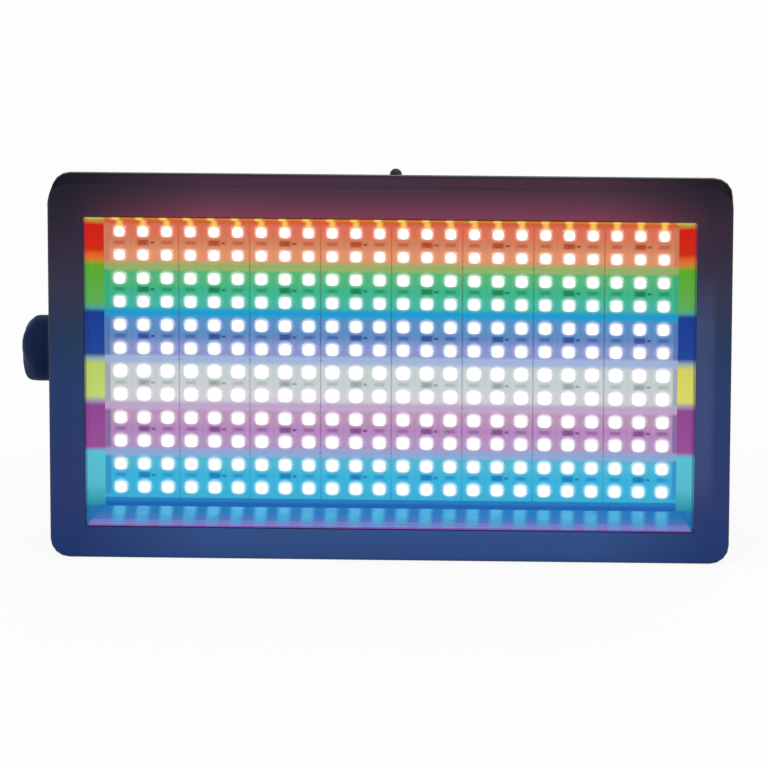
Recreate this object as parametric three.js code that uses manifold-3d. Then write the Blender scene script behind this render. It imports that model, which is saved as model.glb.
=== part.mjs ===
// A strobe light: a black housing round a field of LEDs, on a U bracket with a clamping knob.
// Millimetres. X to the right as seen from the front, Y to the back, Z up.
// The origin is the middle of the front shell's flat underside.
import * as THREE from "three";
import { mergeVertices } from "three/addons/utils/BufferGeometryUtils.js";
import Module from "manifold-3d";

const wasm = await Module();
wasm.setup();

// LED field
const ledColumns = 24;
const ledBands = 6;
const rowsPerBand = 2;
const ledPitch = 10;
const stripPitch = 20.3;
const stripGap = 0.3;
const stripLap = 1.8;
const boardThickness = 1.6;
const ledSize = 5;
const ledHeight = 1.6;
const ledRoot = 0.5;

// Reflector and window
const floorMarginSide = 1.1;
const floorMarginTop = 1.7;
const wallRunSide = 7.45;
const wallRunTop = 4.8;
const lipRecess = 0.4;
const lipWall = 0.9;
const ledgeWidth = 1;
const windowRecess = 0.8;
const windowThickness = 2;
const wallBack = 17;
const reflectorWall = 1.5;
const flangeLap = 2;
const flangeThickness = 2;
const stripFace = 24;

// Housing
const bezelSide = 14.95;
const frontDepth = 22;
const rearDepth = 40;
const housingCorner = 8;
const openingCorner = 1.5;
const shellWall = 2.5;
const bezelFace = 3;
const edgeBevel = 1.2;
const backWall = 3;
const backChamfer = 2;
const rearFlange = 2.5;
const tongueLength = 4;
const tongueWall = 1.5;
const rearInset = 4.5;
const rearDraft = 1;
const rearStraight = 6.5;
const rearTaper = 9.2;

// Fits
const seatGap = 0.3;
const overrun = 1;

// Screws and bosses
const screwRadius = 1.5;
const pilotRadius = 1.8;
const headRadius = 2.9;
const headHeight = 2;
const socketRadius = 1.3;
const socketDepth = 1;
const bossRadius = 3.1;
const bossGap = 0.5;
const bossWallGap = 0.6;
const caseScrewLength = 18;
const pilotSpare = 2.6;
const columnRadius = 5.5;
const pocketRadius = 3.8;
const pocketFloor = 1.6;
const plateThickness = 2;
const plateEdge = 3;
const plateScrewLength = 8;
const notchGap = 0.8;
const plateScrewShare = 0.9;

// Pivot, bracket and knob
const padRadius = 11;
const padProud = 0.7;
const pivotBossRadius = 8;
const pivotBossDepth = 14;
const insertRadius = 4.5;
const insertLength = 10;
const studRadius = 3;
const runningGap = 0.4;
const washerThickness = 0.8;
const washerRadius = 9;
const strapThickness = 2;
const strapWidth = 25;
const bracketClearance = 9;
const strapClearance = 5;
const bendRadius = 4;
const hangHoleRadius = 5.25;
const sideHoleRadius = 3.25;
const sideHoleSpacing = 120;
const pivotHeadRadius = 6.5;
const pivotHeadHeight = 1.2;
const hexRadius = 2.3;
const hexDepth = 1.4;
const pivotScrewGrip = 12.4;
const knobDomeDepth = 9.7;
const knobRadius = 14.1;
const knobLobes = 3;
const knobBoreDepth = 9;
const knobSkirt = 5;
// Each row: distance from the tip as a share of the dome's depth, then the mean radius and the lobe
// height as shares of the knob's radius.
const knobDomeShares = [
  [0.814, 0.99, 0.005],
  [0.552, 0.95, 0.04],
  [0.342, 0.85, 0.1],
  [0.196, 0.73, 0.13],
  [0.08, 0.53, 0.15],
  [0, 0.3, 0.06],
];

// Cooling fan
const fanSize = 50;
const fanDepth = 15;
const fanCorner = 3;
const fanWall = 1.7;
const fanHoleInset = 5;
const fanStrutWidth = 2.5;
const fanStrutDepth = 2.5;
const fanHubRadius = 11.5;
const fanShaftRadius = 1.5;
const fanBlades = 7;
const bladeThickness = 1.2;
const bladeChord = 8.5;
const bladeTipGap = 1;
const bladeRoot = 1;
const hubEndGap = 1.2;
const fanScrewLength = 16;
const fanXShare = -0.523;
const fanZShare = 0.148;
const grilleRings = 3;
const grilleArcs = 4;
const grilleEdge = 1.1;
const grilleSlot = 3.6;
const grilleBar = 2.2;
const grilleSpoke = 3;

// Control panel
const displayWidth = 44;
const displayHeight = 16;
const displayXShare = 0.627;
const displayZShare = 0.383;
const lensFlange = 2;
const lensFlangeThickness = 1;
const lensSink = 0.3;
const displayRim = 3;
const displayDepth = 7.1;
const buttonRadius = 4;
const buttonProud = 2;
const buttonFlangeRadius = 5.2;
const buttonFlangeThickness = 1.5;
const buttonGap = 0.35;
const buttonTravel = 0.8;
const buttonRest = 0.2;
const buttonSpacing = 11;
const displayButtonGap = 10;
const switchSize = 6;
const switchHeight = 3.5;
const plungerRadius = 1.7;
const controlMargin = 7;
const controlHeight = 30;
const postRadius = 2.5;
const postInset = 3.5;
const stakeRadius = 1.2;
const stakeLength = 2.6;
const micRadius = 4.8;
const micDepth = 5;
const micCollarWall = 1.2;
const micHoleRadius = 1;
const micXShare = 0.118;
const micZShare = 0.111;

// Connectors
const connectorZShare = -0.506;
const inletXShare = -0.613;
const inletWidth = 27;
const inletHeight = 19.5;
const inletDepth = 22;
const inletEar = 11.5;
const inletEdge = 2.25;
const flangePlate = 2.5;
const flangeCorner = 3;
const inletWallSide = 1.5;
const inletWallTop = 1.55;
const inletFloor = 4;
const inletChamfer = 4.5;
const bladeWidth = 2;
const bladeHeight = 4;
const bladeInset = 5;
const bladeSpacing = 7;
const bladeRise = 2;
const inletScrewInset = 5;
const inletScrewLength = 10;
const inletBossDepth = 6;
const dmxInXShare = 0.209;
const dmxOutXShare = 0.502;
const dmxFlangeEdge = 1.2;
const dmxFlangeHeight = 31;
const dmxFlangeThickness = 2;
const dmxBarrelRadius = 11.8;
const dmxDepth = 22;
const dmxBarrelWall = 3.2;
const dmxFloor = 6;
const dmxPinRadius = 1.2;
const dmxPinInset = 4.5;
const dmxPinCircle = 4.4;
const dmxScrewInset = 3.5;
const dmxScrewLength = 9;
const dmxBossDepth = 4;
const dmxHoleRadius = 1.5;
const dmxHoleDepth = 12;
const latchWidth = 6;
const latchHeight = 2.2;
const latchProud = 1.6;
const latchLength = 8;
const latchTravel = 1.2;
const latchSlotGap = 0.4;
const latchInset = 2.6;

// Vents
const ventCount = 12;
const ventWidth = 3;
const ventHeight = 14;
const ventPitch = 7;
const ventXShare = 0.488;
const ventZShare = -0.074;

// Safety eye
const eyeClearance = 1.6;
const eyeRingRadius = 8.5;
const eyeTubeRadius = 2.6;
const eyeCollarRadius = 5.5;
const eyeCollarHeight = 3;
const eyeShankRadius = 2.9;
const eyeShankLength = 10;
const eyeNutRadius = 4.9;
const eyeNutHeight = 4.5;

// Boards inside
const supplyHeight = 108;
const supplyFanGap = 4.1;
const supplyPanelGap = 7.4;
const supplyZShare = -0.062;
const supplyStand = 5.1;
const transformerWidth = 30;
const transformerHeight = 26;
const transformerDrop = 1;
const capacitorRadius = 8;
const supplyClearance = 6.1;
const sinkWidth = 3;
const sinkHeight = 36;
const sinkDrop = 2;
const terminalSize = 9;
const supplyPartInset = 4;
const terminalInset = 6;
const driverMargin = 7;
const driverRise = 8;
const driverFanLap = 3.1;
const driverBossGap = 2.25;
const driverStand = 3.7;
const chipSize = 9;
const chipHeight = 2;
const chipCount = 6;
const chipRowShare = 0.18;
const headerWidth = 16;
const headerHeight = 6;
const headerDepth = 6;

// Leads inside
const leadRadius = 2;
const leadSides = 8;
const leadSteps = 18;
const leadSag = 6;

// Facets
const roundSides = 24;
const midSides = 14;
const smallSides = 10;
const shankSides = 8;
const stakeSides = 6;
const hexSides = 6;
const cornerSteps = 4;
const smallCornerSteps = 2;
const bendSteps = 5;
const arcSteps = 4;
const knobPoints = 30;
const ringTubeSides = 8;
const ringSteps = 20;

// Worked out: half sizes of the floor, the opening, the screw bosses' line and the housing
const quarterTurn = Math.PI / 2;
const floorHalfWidth = (ledColumns * ledPitch) / 2 + floorMarginSide;
const floorHalfHeight = (ledBands * stripPitch) / 2 + floorMarginTop;
const openingHalfWidth = floorHalfWidth + wallRunSide;
const openingHalfHeight = floorHalfHeight + wallRunTop;
const skirtHalfWidth = openingHalfWidth + flangeLap;
const skirtHalfHeight = openingHalfHeight + flangeLap;
const bossOffset = skirtHalfHeight + bossGap + bossRadius;
const rearInnerHalfHeight = bossOffset + bossRadius + bossWallGap;
const tongueHalfHeight = rearInnerHalfHeight + tongueWall;
const halfHeight = tongueHalfHeight + seatGap + shellWall;
const halfWidth = openingHalfWidth + bezelSide;
const midZ = halfHeight;

// Worked out: planes from front to back
const faceY = -frontDepth / 2;
const seamY = faceY + frontDepth;
const backY = seamY + rearDepth;
const backInnerY = backY - backWall;
const lipY = faceY + lipRecess;
const windowY = faceY + windowRecess;
const ledgeY = windowY + windowThickness + seatGap;
const flangeY = faceY + bezelFace + seatGap;
const wallBackY = faceY + wallBack;
const boardFrontY = faceY + stripFace;
const boardBackY = boardFrontY + boardThickness;
const plateFrontY = boardBackY + seatGap;
const plateBackY = plateFrontY + plateThickness;
const columnWideY = plateBackY + bossGap;
const pocketY = columnWideY + pocketFloor;

// Worked out: where things fit across the housing
const plateHalfHeight = bossOffset + plateEdge;
const plateScrewX = plateScrewShare * floorHalfWidth;
const tongueHalfWidth = halfWidth - shellWall - seatGap;
const tongueCorner = housingCorner - shellWall - seatGap;
const rearHalfWidth = halfWidth - rearInset;
const rearHalfHeight = rearInnerHalfHeight + shellWall;
const pivotY = seamY + rearFlange + strapClearance + strapWidth / 2;
const bracketReach = halfHeight + bracketClearance;
const padX = rearHalfWidth - rearDraft / 2 + padProud;
const washerX = padX + seatGap;
const strapInnerX = washerX + washerThickness + seatGap;
const strapOuterX = strapInnerX + strapThickness;
const gripX = strapOuterX + seatGap;

const caseScrewPlaces = [
  [-openingHalfWidth, bossOffset],
  [0, bossOffset],
  [openingHalfWidth, bossOffset],
  [-openingHalfWidth, -bossOffset],
  [0, -bossOffset],
  [openingHalfWidth, -bossOffset],
];
const plateScrewPlaces = [
  [-plateScrewX, bossOffset],
  [plateScrewX, bossOffset],
  [-plateScrewX, -bossOffset],
  [plateScrewX, -bossOffset],
];

// Worked out: places on the back wall
const fanX = fanXShare * halfWidth;
const fanZ = midZ + fanZShare * halfHeight;
const fanBoreRadius = fanSize / 2 - fanWall;
const displayX = displayXShare * halfWidth;
const displayZ = midZ + displayZShare * halfHeight;
const micX = micXShare * halfWidth;
const micZ = midZ + micZShare * halfHeight;
const connectorZ = midZ + connectorZShare * halfHeight;
const inletX = inletXShare * halfWidth;
const dmxInX = dmxInXShare * halfWidth;
const dmxOutX = dmxOutXShare * halfWidth;
const inletFlangeWidth = inletWidth + 2 * inletEar;
const inletFlangeHeight = inletHeight + 2 * inletEdge;
const inletScrewX = inletFlangeWidth / 2 - inletScrewInset;
const dmxFlangeWidth = 2 * (dmxBarrelRadius + dmxFlangeEdge);
const dmxRecessRadius = dmxBarrelRadius - dmxBarrelWall;
const dmxScrewX = dmxFlangeWidth / 2 - dmxScrewInset;
const dmxScrewZ = dmxFlangeHeight / 2 - dmxScrewInset;
const latchOffset = dmxBarrelRadius - latchInset;
const ventX = ventXShare * halfWidth;
const ventZ = midZ + ventZShare * halfHeight;
const eyeZ = midZ + rearInnerHalfHeight - rearTaper - eyeNutRadius - eyeClearance;
const supplyZ = midZ + supplyZShare * halfHeight;
const driverLeft = pivotBossDepth - padX + driverBossGap;
const driverRight = fanX + fanSize / 2 + driverFanLap;
const driverX = (driverLeft + driverRight) / 2;
const driverWidth = driverRight - driverLeft;
const driverZ = fanZ + driverRise;
const driverHeight = fanSize + 2 * driverMargin;
const fanFrontY = backInnerY - seatGap - fanDepth;
const lensFlangeY = backInnerY - seatGap - lensFlangeThickness;
const displayFrontY = lensFlangeY - seatGap - displayDepth;
const controlBackY = displayFrontY - seatGap;
const controlFrontY = controlBackY - boardThickness;
const buttonBackY = backInnerY - seatGap - buttonFlangeThickness;
const buttonXs = [4, 3, 2, 1].map(
  (place) => displayX - displayWidth / 2 - displayButtonGap - (place - 1) * buttonSpacing,
);
const panelLeft = buttonXs[0] - controlMargin - postRadius;
const panelRight = displayX + displayWidth / 2 + displayRim + controlMargin;
const panelX = (panelLeft + panelRight) / 2;
const panelHalf = (panelRight - panelLeft) / 2;
const supplyLeft = fanX + fanSize / 2 + supplyFanGap;
const supplyRight = panelLeft - supplyPanelGap;
const supplyX = (supplyLeft + supplyRight) / 2;
const supplyWidth = supplyRight - supplyLeft;
const supplyBackY = backInnerY - supplyStand - seatGap;
const supplyFrontY = supplyBackY - boardThickness;
const supplyReachY = plateBackY + supplyClearance;
const terminalZs = [-1, 1].map(
  (side) => supplyZ + side * (supplyHeight / 2 - supplyPartInset - terminalInset));
const driverFrontY = plateBackY + driverStand + seatGap;
const driverBackY = driverFrontY + boardThickness;

// Helpers: solids, and a few shapes placed by their faces
function solid(geometry) {
  const bare = geometry.index ? geometry.toNonIndexed() : geometry.clone();
  bare.deleteAttribute("normal");
  bare.deleteAttribute("uv");
  const merged = mergeVertices(bare);
  const mesh = new wasm.Mesh({
    numProp: 3,
    vertProperties: merged.attributes.position.array,
    triVerts: new Uint32Array(merged.index.array),
  });
  return new wasm.Manifold(mesh);
}

function geometryOf(made) {
  const mesh = made.getMesh();
  const places = new Float32Array(mesh.numVert * 3);
  for (let vertex = 0; vertex < mesh.numVert; vertex += 1) {
    const start = vertex * mesh.numProp;
    places.set(mesh.vertProperties.subarray(start, start + 3), vertex * 3);
  }
  const geometry = new THREE.BufferGeometry();
  geometry.setAttribute("position", new THREE.BufferAttribute(places, 3));
  geometry.setIndex(new THREE.BufferAttribute(new Uint32Array(mesh.triVerts), 1));
  return geometry.toNonIndexed();
}

function join(solids) {
  return solids.reduce((whole, next) => whole.add(next));
}

function cut(body, tools) {
  return tools.reduce((whole, next) => whole.subtract(next), body);
}

// The outline of a rounded rectangle about (x, z), anticlockwise as seen from the front.
function roundedRect(halfX, halfZ, corner, steps, x = 0, z = midZ) {
  const points = [];
  const sides = [[1, 1], [-1, 1], [-1, -1], [1, -1]];
  sides.forEach(([sideX, sideZ], quarter) => {
    for (let step = 0; step <= steps; step += 1) {
      const angle = (quarter + step / steps) * quarterTurn;
      const pointX = x + sideX * (halfX - corner) + corner * Math.cos(angle);
      const pointZ = z + sideZ * (halfZ - corner) + corner * Math.sin(angle);
      points.push(new THREE.Vector2(pointX, pointZ));
    }
  });
  return points;
}

// A shape in the X-Z plane, made solid from start to end along Y.
function plate(shape, start, end, curveSegments = arcSteps) {
  const options = { depth: end - start, bevelEnabled: false, curveSegments };
  const geometry = new THREE.ExtrudeGeometry(shape, options);
  return solid(geometry.rotateX(quarterTurn).translate(0, end, 0));
}

function prism(points, start, end) {
  return plate(new THREE.Shape(points), start, end);
}

// A solid through outlines with equal numbers of points, each at its own place along Y.
function loft(sections) {
  const count = sections[0].outline.length;
  const places = sections.flatMap(({ y, outline }) => outline.flatMap((point) => [point.x, y, point.y]));
  const faces = THREE.ShapeUtils.triangulateShape(sections[0].outline, []);
  const last = (sections.length - 1) * count;
  const index = faces.flatMap(([a, b, c]) => [a, b, c, last + c, last + b, last + a]);
  for (let ring = 0; ring < sections.length - 1; ring += 1) {
    for (let point = 0; point < count; point += 1) {
      const a = ring * count + point;
      const b = ring * count + ((point + 1) % count);
      index.push(a, a + count, b + count, a, b + count, b);
    }
  }
  const geometry = new THREE.BufferGeometry();
  geometry.setAttribute("position", new THREE.Float32BufferAttribute(places, 3));
  geometry.setIndex(index);
  return solid(geometry);
}

// A box of a width and a height about (x, z), from start to end along Y.
function bar(width, height, start, end, x, z) {
  const geometry = new THREE.BoxGeometry(width, end - start, height);
  return solid(geometry.translate(x, (start + end) / 2, z));
}

function rodY(radius, start, end, x, z, sides = roundSides) {
  const geometry = new THREE.CylinderGeometry(radius, radius, end - start, sides);
  return solid(geometry.translate(x, (start + end) / 2, z));
}

function rodX(radius, start, end, sides = roundSides) {
  const geometry = new THREE.CylinderGeometry(radius, radius, end - start, sides);
  return solid(geometry.rotateZ(quarterTurn).translate((start + end) / 2, pivotY, midZ));
}

// A pan head screw along Y with a hexagon socket, its head on the seat, its shank towards the front.
function panScrew(seat, length, x, z) {
  const head = rodY(headRadius, seat, seat + headHeight, x, z, smallSides);
  const shank = rodY(screwRadius, seat - length, seat + headHeight / 2, x, z, shankSides);
  const top = seat + headHeight;
  const socket = rodY(socketRadius, top - socketDepth, top + overrun, x, z, hexSides);
  return join([head, shank]).subtract(socket);
}

const object = new THREE.Group();

function piece(name, made, colour, roughness, metalness, parent = object) {
  const material = new THREE.MeshStandardMaterial({ color: colour, roughness, metalness });
  const mesh = new THREE.Mesh(geometryOf(made), material);
  mesh.name = name;
  parent.add(mesh);
}

// Front shell: the bezel, its rim and the bosses that the screws bite into
function makeFrontShell() {
  const rim = (inset) =>
    roundedRect(halfWidth - inset, halfHeight - inset, housingCorner - inset, cornerSteps);
  const outside = loft([
    { y: faceY, outline: rim(edgeBevel) },
    { y: faceY + edgeBevel, outline: rim(0) },
    { y: seamY, outline: rim(0) },
  ]);
  const hollow = prism(rim(shellWall), faceY + bezelFace, seamY + overrun);
  const opening = prism(
    roundedRect(openingHalfWidth, openingHalfHeight, openingCorner, smallCornerSteps),
    faceY - overrun,
    faceY + bezelFace + overrun,
  );
  const bossStart = faceY + bezelFace / 2;
  const caseBossEnd = seamY - seatGap;
  const plateBossEnd = boardBackY;
  const casePilotEnd = pocketY + seatGap - caseScrewLength - pilotSpare;
  const platePilotEnd = plateBackY + seatGap - plateScrewLength - pilotSpare;
  const caseBosses = caseScrewPlaces.map(([x, z]) =>
    rodY(bossRadius, bossStart, caseBossEnd, x, midZ + z, smallSides));
  const casePilots = caseScrewPlaces.map(([x, z]) =>
    rodY(pilotRadius, casePilotEnd, caseBossEnd + overrun, x, midZ + z, shankSides));
  const plateBosses = plateScrewPlaces.map(([x, z]) =>
    rodY(bossRadius, bossStart, plateBossEnd, x, midZ + z, smallSides));
  const platePilots = plateScrewPlaces.map(([x, z]) =>
    rodY(pilotRadius, platePilotEnd, plateBossEnd + overrun, x, midZ + z, shankSides));
  const shell = cut(outside, [hollow, opening]);
  return cut(join([shell, ...caseBosses, ...plateBosses]), [...casePilots, ...platePilots]);
}

function makeWindow() {
  const inset = seatGap + lipWall + seatGap;
  const outline = roundedRect(
    openingHalfWidth - inset, openingHalfHeight - inset, openingCorner / 2, smallCornerSteps);
  return prism(outline, windowY, windowY + windowThickness);
}

// The reflector's sloping wall at a depth, moved outwards by extra.
function wallOutline(y, extra) {
  const inset = seatGap + lipWall + ledgeWidth;
  const share = (y - ledgeY) / (wallBackY - ledgeY);
  const frontHalfX = openingHalfWidth - inset;
  const frontHalfZ = openingHalfHeight - inset;
  const halfX = frontHalfX + share * (floorHalfWidth - frontHalfX) + extra;
  const halfZ = frontHalfZ + share * (floorHalfHeight - frontHalfZ) + extra;
  return roundedRect(halfX, halfZ, openingCorner, smallCornerSteps);
}

// Reflector: lip and flange at the front, sloping silvered walls, and a skirt down to the LED plate
function makeReflector() {
  const skirt = (inset) =>
    roundedRect(skirtHalfWidth - inset, skirtHalfHeight - inset, openingCorner, smallCornerSteps);
  const lip = roundedRect(
    openingHalfWidth - seatGap, openingHalfHeight - seatGap, openingCorner, smallCornerSteps);
  const pocket = roundedRect(
    openingHalfWidth - seatGap - lipWall, openingHalfHeight - seatGap - lipWall,
    openingCorner / 2, smallCornerSteps);
  const grooveY = flangeY + flangeThickness;
  const slope = loft([
    { y: grooveY - overrun, outline: wallOutline(grooveY - overrun, reflectorWall) },
    { y: wallBackY, outline: wallOutline(wallBackY, reflectorWall) },
  ]);
  const groove = prism(skirt(reflectorWall), grooveY, boardBackY + overrun).subtract(slope);
  const inside = loft([
    { y: ledgeY - overrun, outline: wallOutline(ledgeY - overrun, 0) },
    { y: wallBackY + overrun, outline: wallOutline(wallBackY + overrun, 0) },
  ]);
  const block = join([prism(skirt(0), flangeY, boardBackY), prism(lip, lipY, grooveY)]);
  return cut(block, [groove, prism(pocket, lipY - overrun, ledgeY), inside]);
}

// One LED strip: a board with two rows of square LED packages
function makeStrip(band) {
  const stripZ = midZ + ((ledBands - 1) / 2 - band) * stripPitch;
  const boardLength = 2 * (floorHalfWidth + stripLap);
  const board = bar(boardLength, stripPitch - stripGap, boardFrontY, boardBackY, 0, stripZ);
  const rowPitch = stripPitch / rowsPerBand;
  const packages = [];
  for (let row = 0; row < rowsPerBand; row += 1) {
    for (let column = 0; column < ledColumns; column += 1) {
      const x = (column - (ledColumns - 1) / 2) * ledPitch;
      const z = stripZ + ((rowsPerBand - 1) / 2 - row) * rowPitch;
      packages.push(bar(ledSize, ledSize, boardFrontY - ledHeight, boardFrontY + ledRoot, x, z));
    }
  }
  return join([board, ...packages]);
}

// LED plate: the metal sheet behind the strips, notched round the housing's columns
function makeLedPlate() {
  const sheet = prism(
    roundedRect(skirtHalfWidth, plateHalfHeight, openingCorner, smallCornerSteps),
    plateFrontY,
    plateBackY,
  );
  const notches = caseScrewPlaces.map(([x, z]) => rodY(
    bossRadius + notchGap, plateFrontY - overrun, plateBackY + overrun, x, midZ + z, smallSides));
  const holes = plateScrewPlaces.map(([x, z]) => rodY(
    pilotRadius, plateFrontY - overrun, plateBackY + overrun, x, midZ + z, shankSides));
  const driverPosts = driverPostPlaces().flatMap(([x, z]) => [
    rodY(postRadius, plateBackY - plateThickness / 2, plateBackY + driverStand, x, z, shankSides),
    rodY(stakeRadius, plateBackY, driverBackY + overrun, x, z, stakeSides),
  ]);
  return join([cut(sheet, [...notches, ...holes]), ...driverPosts]);
}

function driverPostPlaces() {
  const x = driverWidth / 2 - postInset;
  const z = driverHeight / 2 - postInset;
  return [[-x, -z], [x, -z], [-x, z], [x, z]].map(([dx, dz]) => [driverX + dx, driverZ + dz]);
}

function supplyPostPlaces() {
  const x = supplyWidth / 2 - postInset;
  const z = supplyHeight / 2 - postInset;
  return [[-x, -z], [x, -z], [-x, z], [x, z]].map(([dx, dz]) => [supplyX + dx, supplyZ + dz]);
}

function controlPostPlaces() {
  const x = panelHalf - postInset;
  const z = controlHeight / 2 - postInset;
  return [[-x, -z], [x, -z], [-x, z], [x, z]].map(([dx, dz]) => [panelX + dx, displayZ + dz]);
}

// Posts with a thin stake on their ends, from the back wall to a board
function wallPosts(places, boardBack, boardFront) {
  return places.flatMap(([x, z]) => [
    rodY(postRadius, boardBack + seatGap, backInnerY + backWall / 2, x, z, shankSides),
    rodY(stakeRadius, boardFront - stakeRadius, boardBack + stakeLength, x, z, stakeSides),
  ]);
}

function stakeHoles(places, start, end) {
  return places.map(([x, z]) =>
    rodY(stakeRadius + seatGap, start - overrun, end + overrun, x, z, stakeSides));
}

// Curved slots in front of the fan
function grilleSlots() {
  const slots = [];
  for (let ring = 0; ring < grilleRings; ring += 1) {
    const outer = fanBoreRadius - grilleEdge - ring * (grilleSlot + grilleBar);
    const inner = outer - grilleSlot;
    const trim = Math.asin(grilleSpoke / 2 / inner);
    for (let arc = 0; arc < grilleArcs; arc += 1) {
      const from = ((arc * 4) / grilleArcs) * quarterTurn + trim;
      const to = (((arc + 1) * 4) / grilleArcs) * quarterTurn - trim;
      const shape = new THREE.Shape();
      shape.absarc(fanX, fanZ, outer, from, to, false);
      shape.absarc(fanX, fanZ, inner, to, from, true);
      slots.push(plate(shape, backInnerY - overrun, backY + overrun, arcSteps));
    }
  }
  return slots;
}

function ventSlots() {
  const slots = [];
  for (let vent = 0; vent < ventCount; vent += 1) {
    const x = ventX + (vent - (ventCount - 1) / 2) * ventPitch;
    slots.push(bar(ventWidth, ventHeight, backInnerY - overrun, backY + overrun, x, ventZ));
  }
  return slots;
}

function fanScrewPlaces() {
  const reach = fanSize / 2 - fanHoleInset;
  return [[-reach, reach], [reach, reach], [-reach, -reach], [reach, -reach]].map(
    ([dx, dz]) => [fanX + dx, fanZ + dz]);
}

function inletScrewPlaces() {
  return [-inletScrewX, inletScrewX].map((dx) => [inletX + dx, connectorZ]);
}

function dmxScrewPlaces() {
  return [dmxInX, dmxOutX].flatMap((x) => [
    [x - dmxScrewX, connectorZ + dmxScrewZ],
    [x + dmxScrewX, connectorZ - dmxScrewZ],
  ]);
}

// Outline of the rear shell at a depth: straight at first, then drawn in above and below
function rearOutline(share, inset) {
  const corner = housingCorner - inset;
  return roundedRect(
    rearHalfWidth - share * rearDraft - inset, rearHalfHeight - share * rearTaper - inset,
    corner, cornerSteps);
}

// Rear shell: the back cover, with its tongue, screw columns, pivot bosses and panel cut-outs
function makeRearShell() {
  const taperY = seamY + rearStraight;
  const outside = loft([
    { y: seamY + rearFlange / 2, outline: rearOutline(0, 0) },
    { y: taperY, outline: rearOutline(0, 0) },
    { y: backY - backChamfer, outline: rearOutline(1, 0) },
    { y: backY, outline: rearOutline(1, backChamfer) },
  ]);
  const inside = loft([
    { y: seamY - tongueLength - overrun, outline: rearOutline(0, shellWall) },
    { y: taperY, outline: rearOutline(0, shellWall) },
    { y: backInnerY, outline: rearOutline(1, shellWall) },
  ]);
  const flange = prism(
    roundedRect(halfWidth, halfHeight, housingCorner, cornerSteps), seamY, seamY + rearFlange);
  const tongueOutside = prism(
    roundedRect(tongueHalfWidth, tongueHalfHeight, tongueCorner, cornerSteps),
    seamY - tongueLength, seamY + rearFlange / 2);
  const tongueInside = prism(
    roundedRect(
      tongueHalfWidth - tongueWall, tongueHalfHeight - tongueWall, tongueCorner - tongueWall,
      cornerSteps),
    seamY - tongueLength - overrun, seamY);
  const block = join([flange, outside, tongueOutside]);
  const shell = cut(block, [inside, tongueInside]);
  const columns = join(caseScrewPlaces.flatMap(([x, z]) => [
    rodY(bossRadius, seamY, columnWideY + overrun, x, midZ + z, shankSides),
    rodY(columnRadius, columnWideY, backY + overrun, x, midZ + z, midSides),
  ])).intersect(block);
  const columnHoles = caseScrewPlaces.flatMap(([x, z]) => [
    rodY(pilotRadius, seamY - overrun, pocketY + overrun, x, midZ + z, shankSides),
    rodY(pocketRadius, pocketY, backY + overrun, x, midZ + z, midSides),
  ]);
  const pads = [-1, 1].flatMap((side) => [
    rodX(padRadius, Math.min(side * padX, side * (padX - shellWall)),
      Math.max(side * padX, side * (padX - shellWall))),
    rodX(pivotBossRadius, Math.min(side * (padX - pivotBossDepth), side * (padX - shellWall)),
      Math.max(side * (padX - pivotBossDepth), side * (padX - shellWall))),
  ]);
  const pivotHole = rodX(insertRadius + seatGap, -padX - overrun, padX + overrun, midSides);
  const micCollar = rodY(
    micRadius + seatGap + micCollarWall, backInnerY - micDepth, backInnerY + backWall / 2, micX, micZ,
    midSides);
  const inletBosses = inletScrewPlaces().map(([x, z]) =>
    rodY(bossRadius, backInnerY - inletBossDepth, backInnerY + backWall / 2, x, z, shankSides));
  const dmxBosses = dmxScrewPlaces().map(([x, z]) =>
    rodY(bossRadius, backInnerY - dmxBossDepth, backInnerY + backWall / 2, x, z, shankSides));
  const posts = [
    ...wallPosts(controlPostPlaces(), controlBackY, controlFrontY),
    ...wallPosts(supplyPostPlaces(), supplyBackY, supplyFrontY),
  ];
  const added = join([
    shell, columns, ...pads, micCollar, ...inletBosses, ...dmxBosses, ...posts]);
  const through = [backInnerY - overrun, backY + overrun];
  const panelHoles = [
    bar(displayWidth, displayHeight, ...through, displayX, displayZ),
    ...buttonXs.map((x) => rodY(buttonRadius + buttonGap, ...through, x, displayZ, midSides)),
    rodY(micRadius + seatGap, backInnerY - micDepth - overrun, backInnerY, micX, micZ, midSides),
    rodY(micHoleRadius, ...through, micX, micZ, shankSides),
    bar(inletWidth + 2 * seatGap, inletHeight + 2 * seatGap, ...through, inletX, connectorZ),
    ...inletScrewPlaces().map(([x, z]) => rodY(
      pilotRadius, backInnerY - inletBossDepth - overrun, backY + overrun, x, z, shankSides)),
    ...[dmxInX, dmxOutX].map((x) =>
      rodY(dmxBarrelRadius + seatGap, backInnerY - dmxBossDepth - overrun, backY + overrun, x, connectorZ)),
    ...dmxScrewPlaces().map(([x, z]) =>
      rodY(pilotRadius, backInnerY - dmxBossDepth - overrun, backY + overrun, x, z, shankSides)),
    ...fanScrewPlaces().map(([x, z]) => rodY(pilotRadius, ...through, x, z, shankSides)),
    rodY(eyeShankRadius + seatGap, ...through, 0, eyeZ, shankSides),
  ];
  return cut(added, [...columnHoles, pivotHole, ...panelHoles, ...grilleSlots(), ...ventSlots()]);
}

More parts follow.
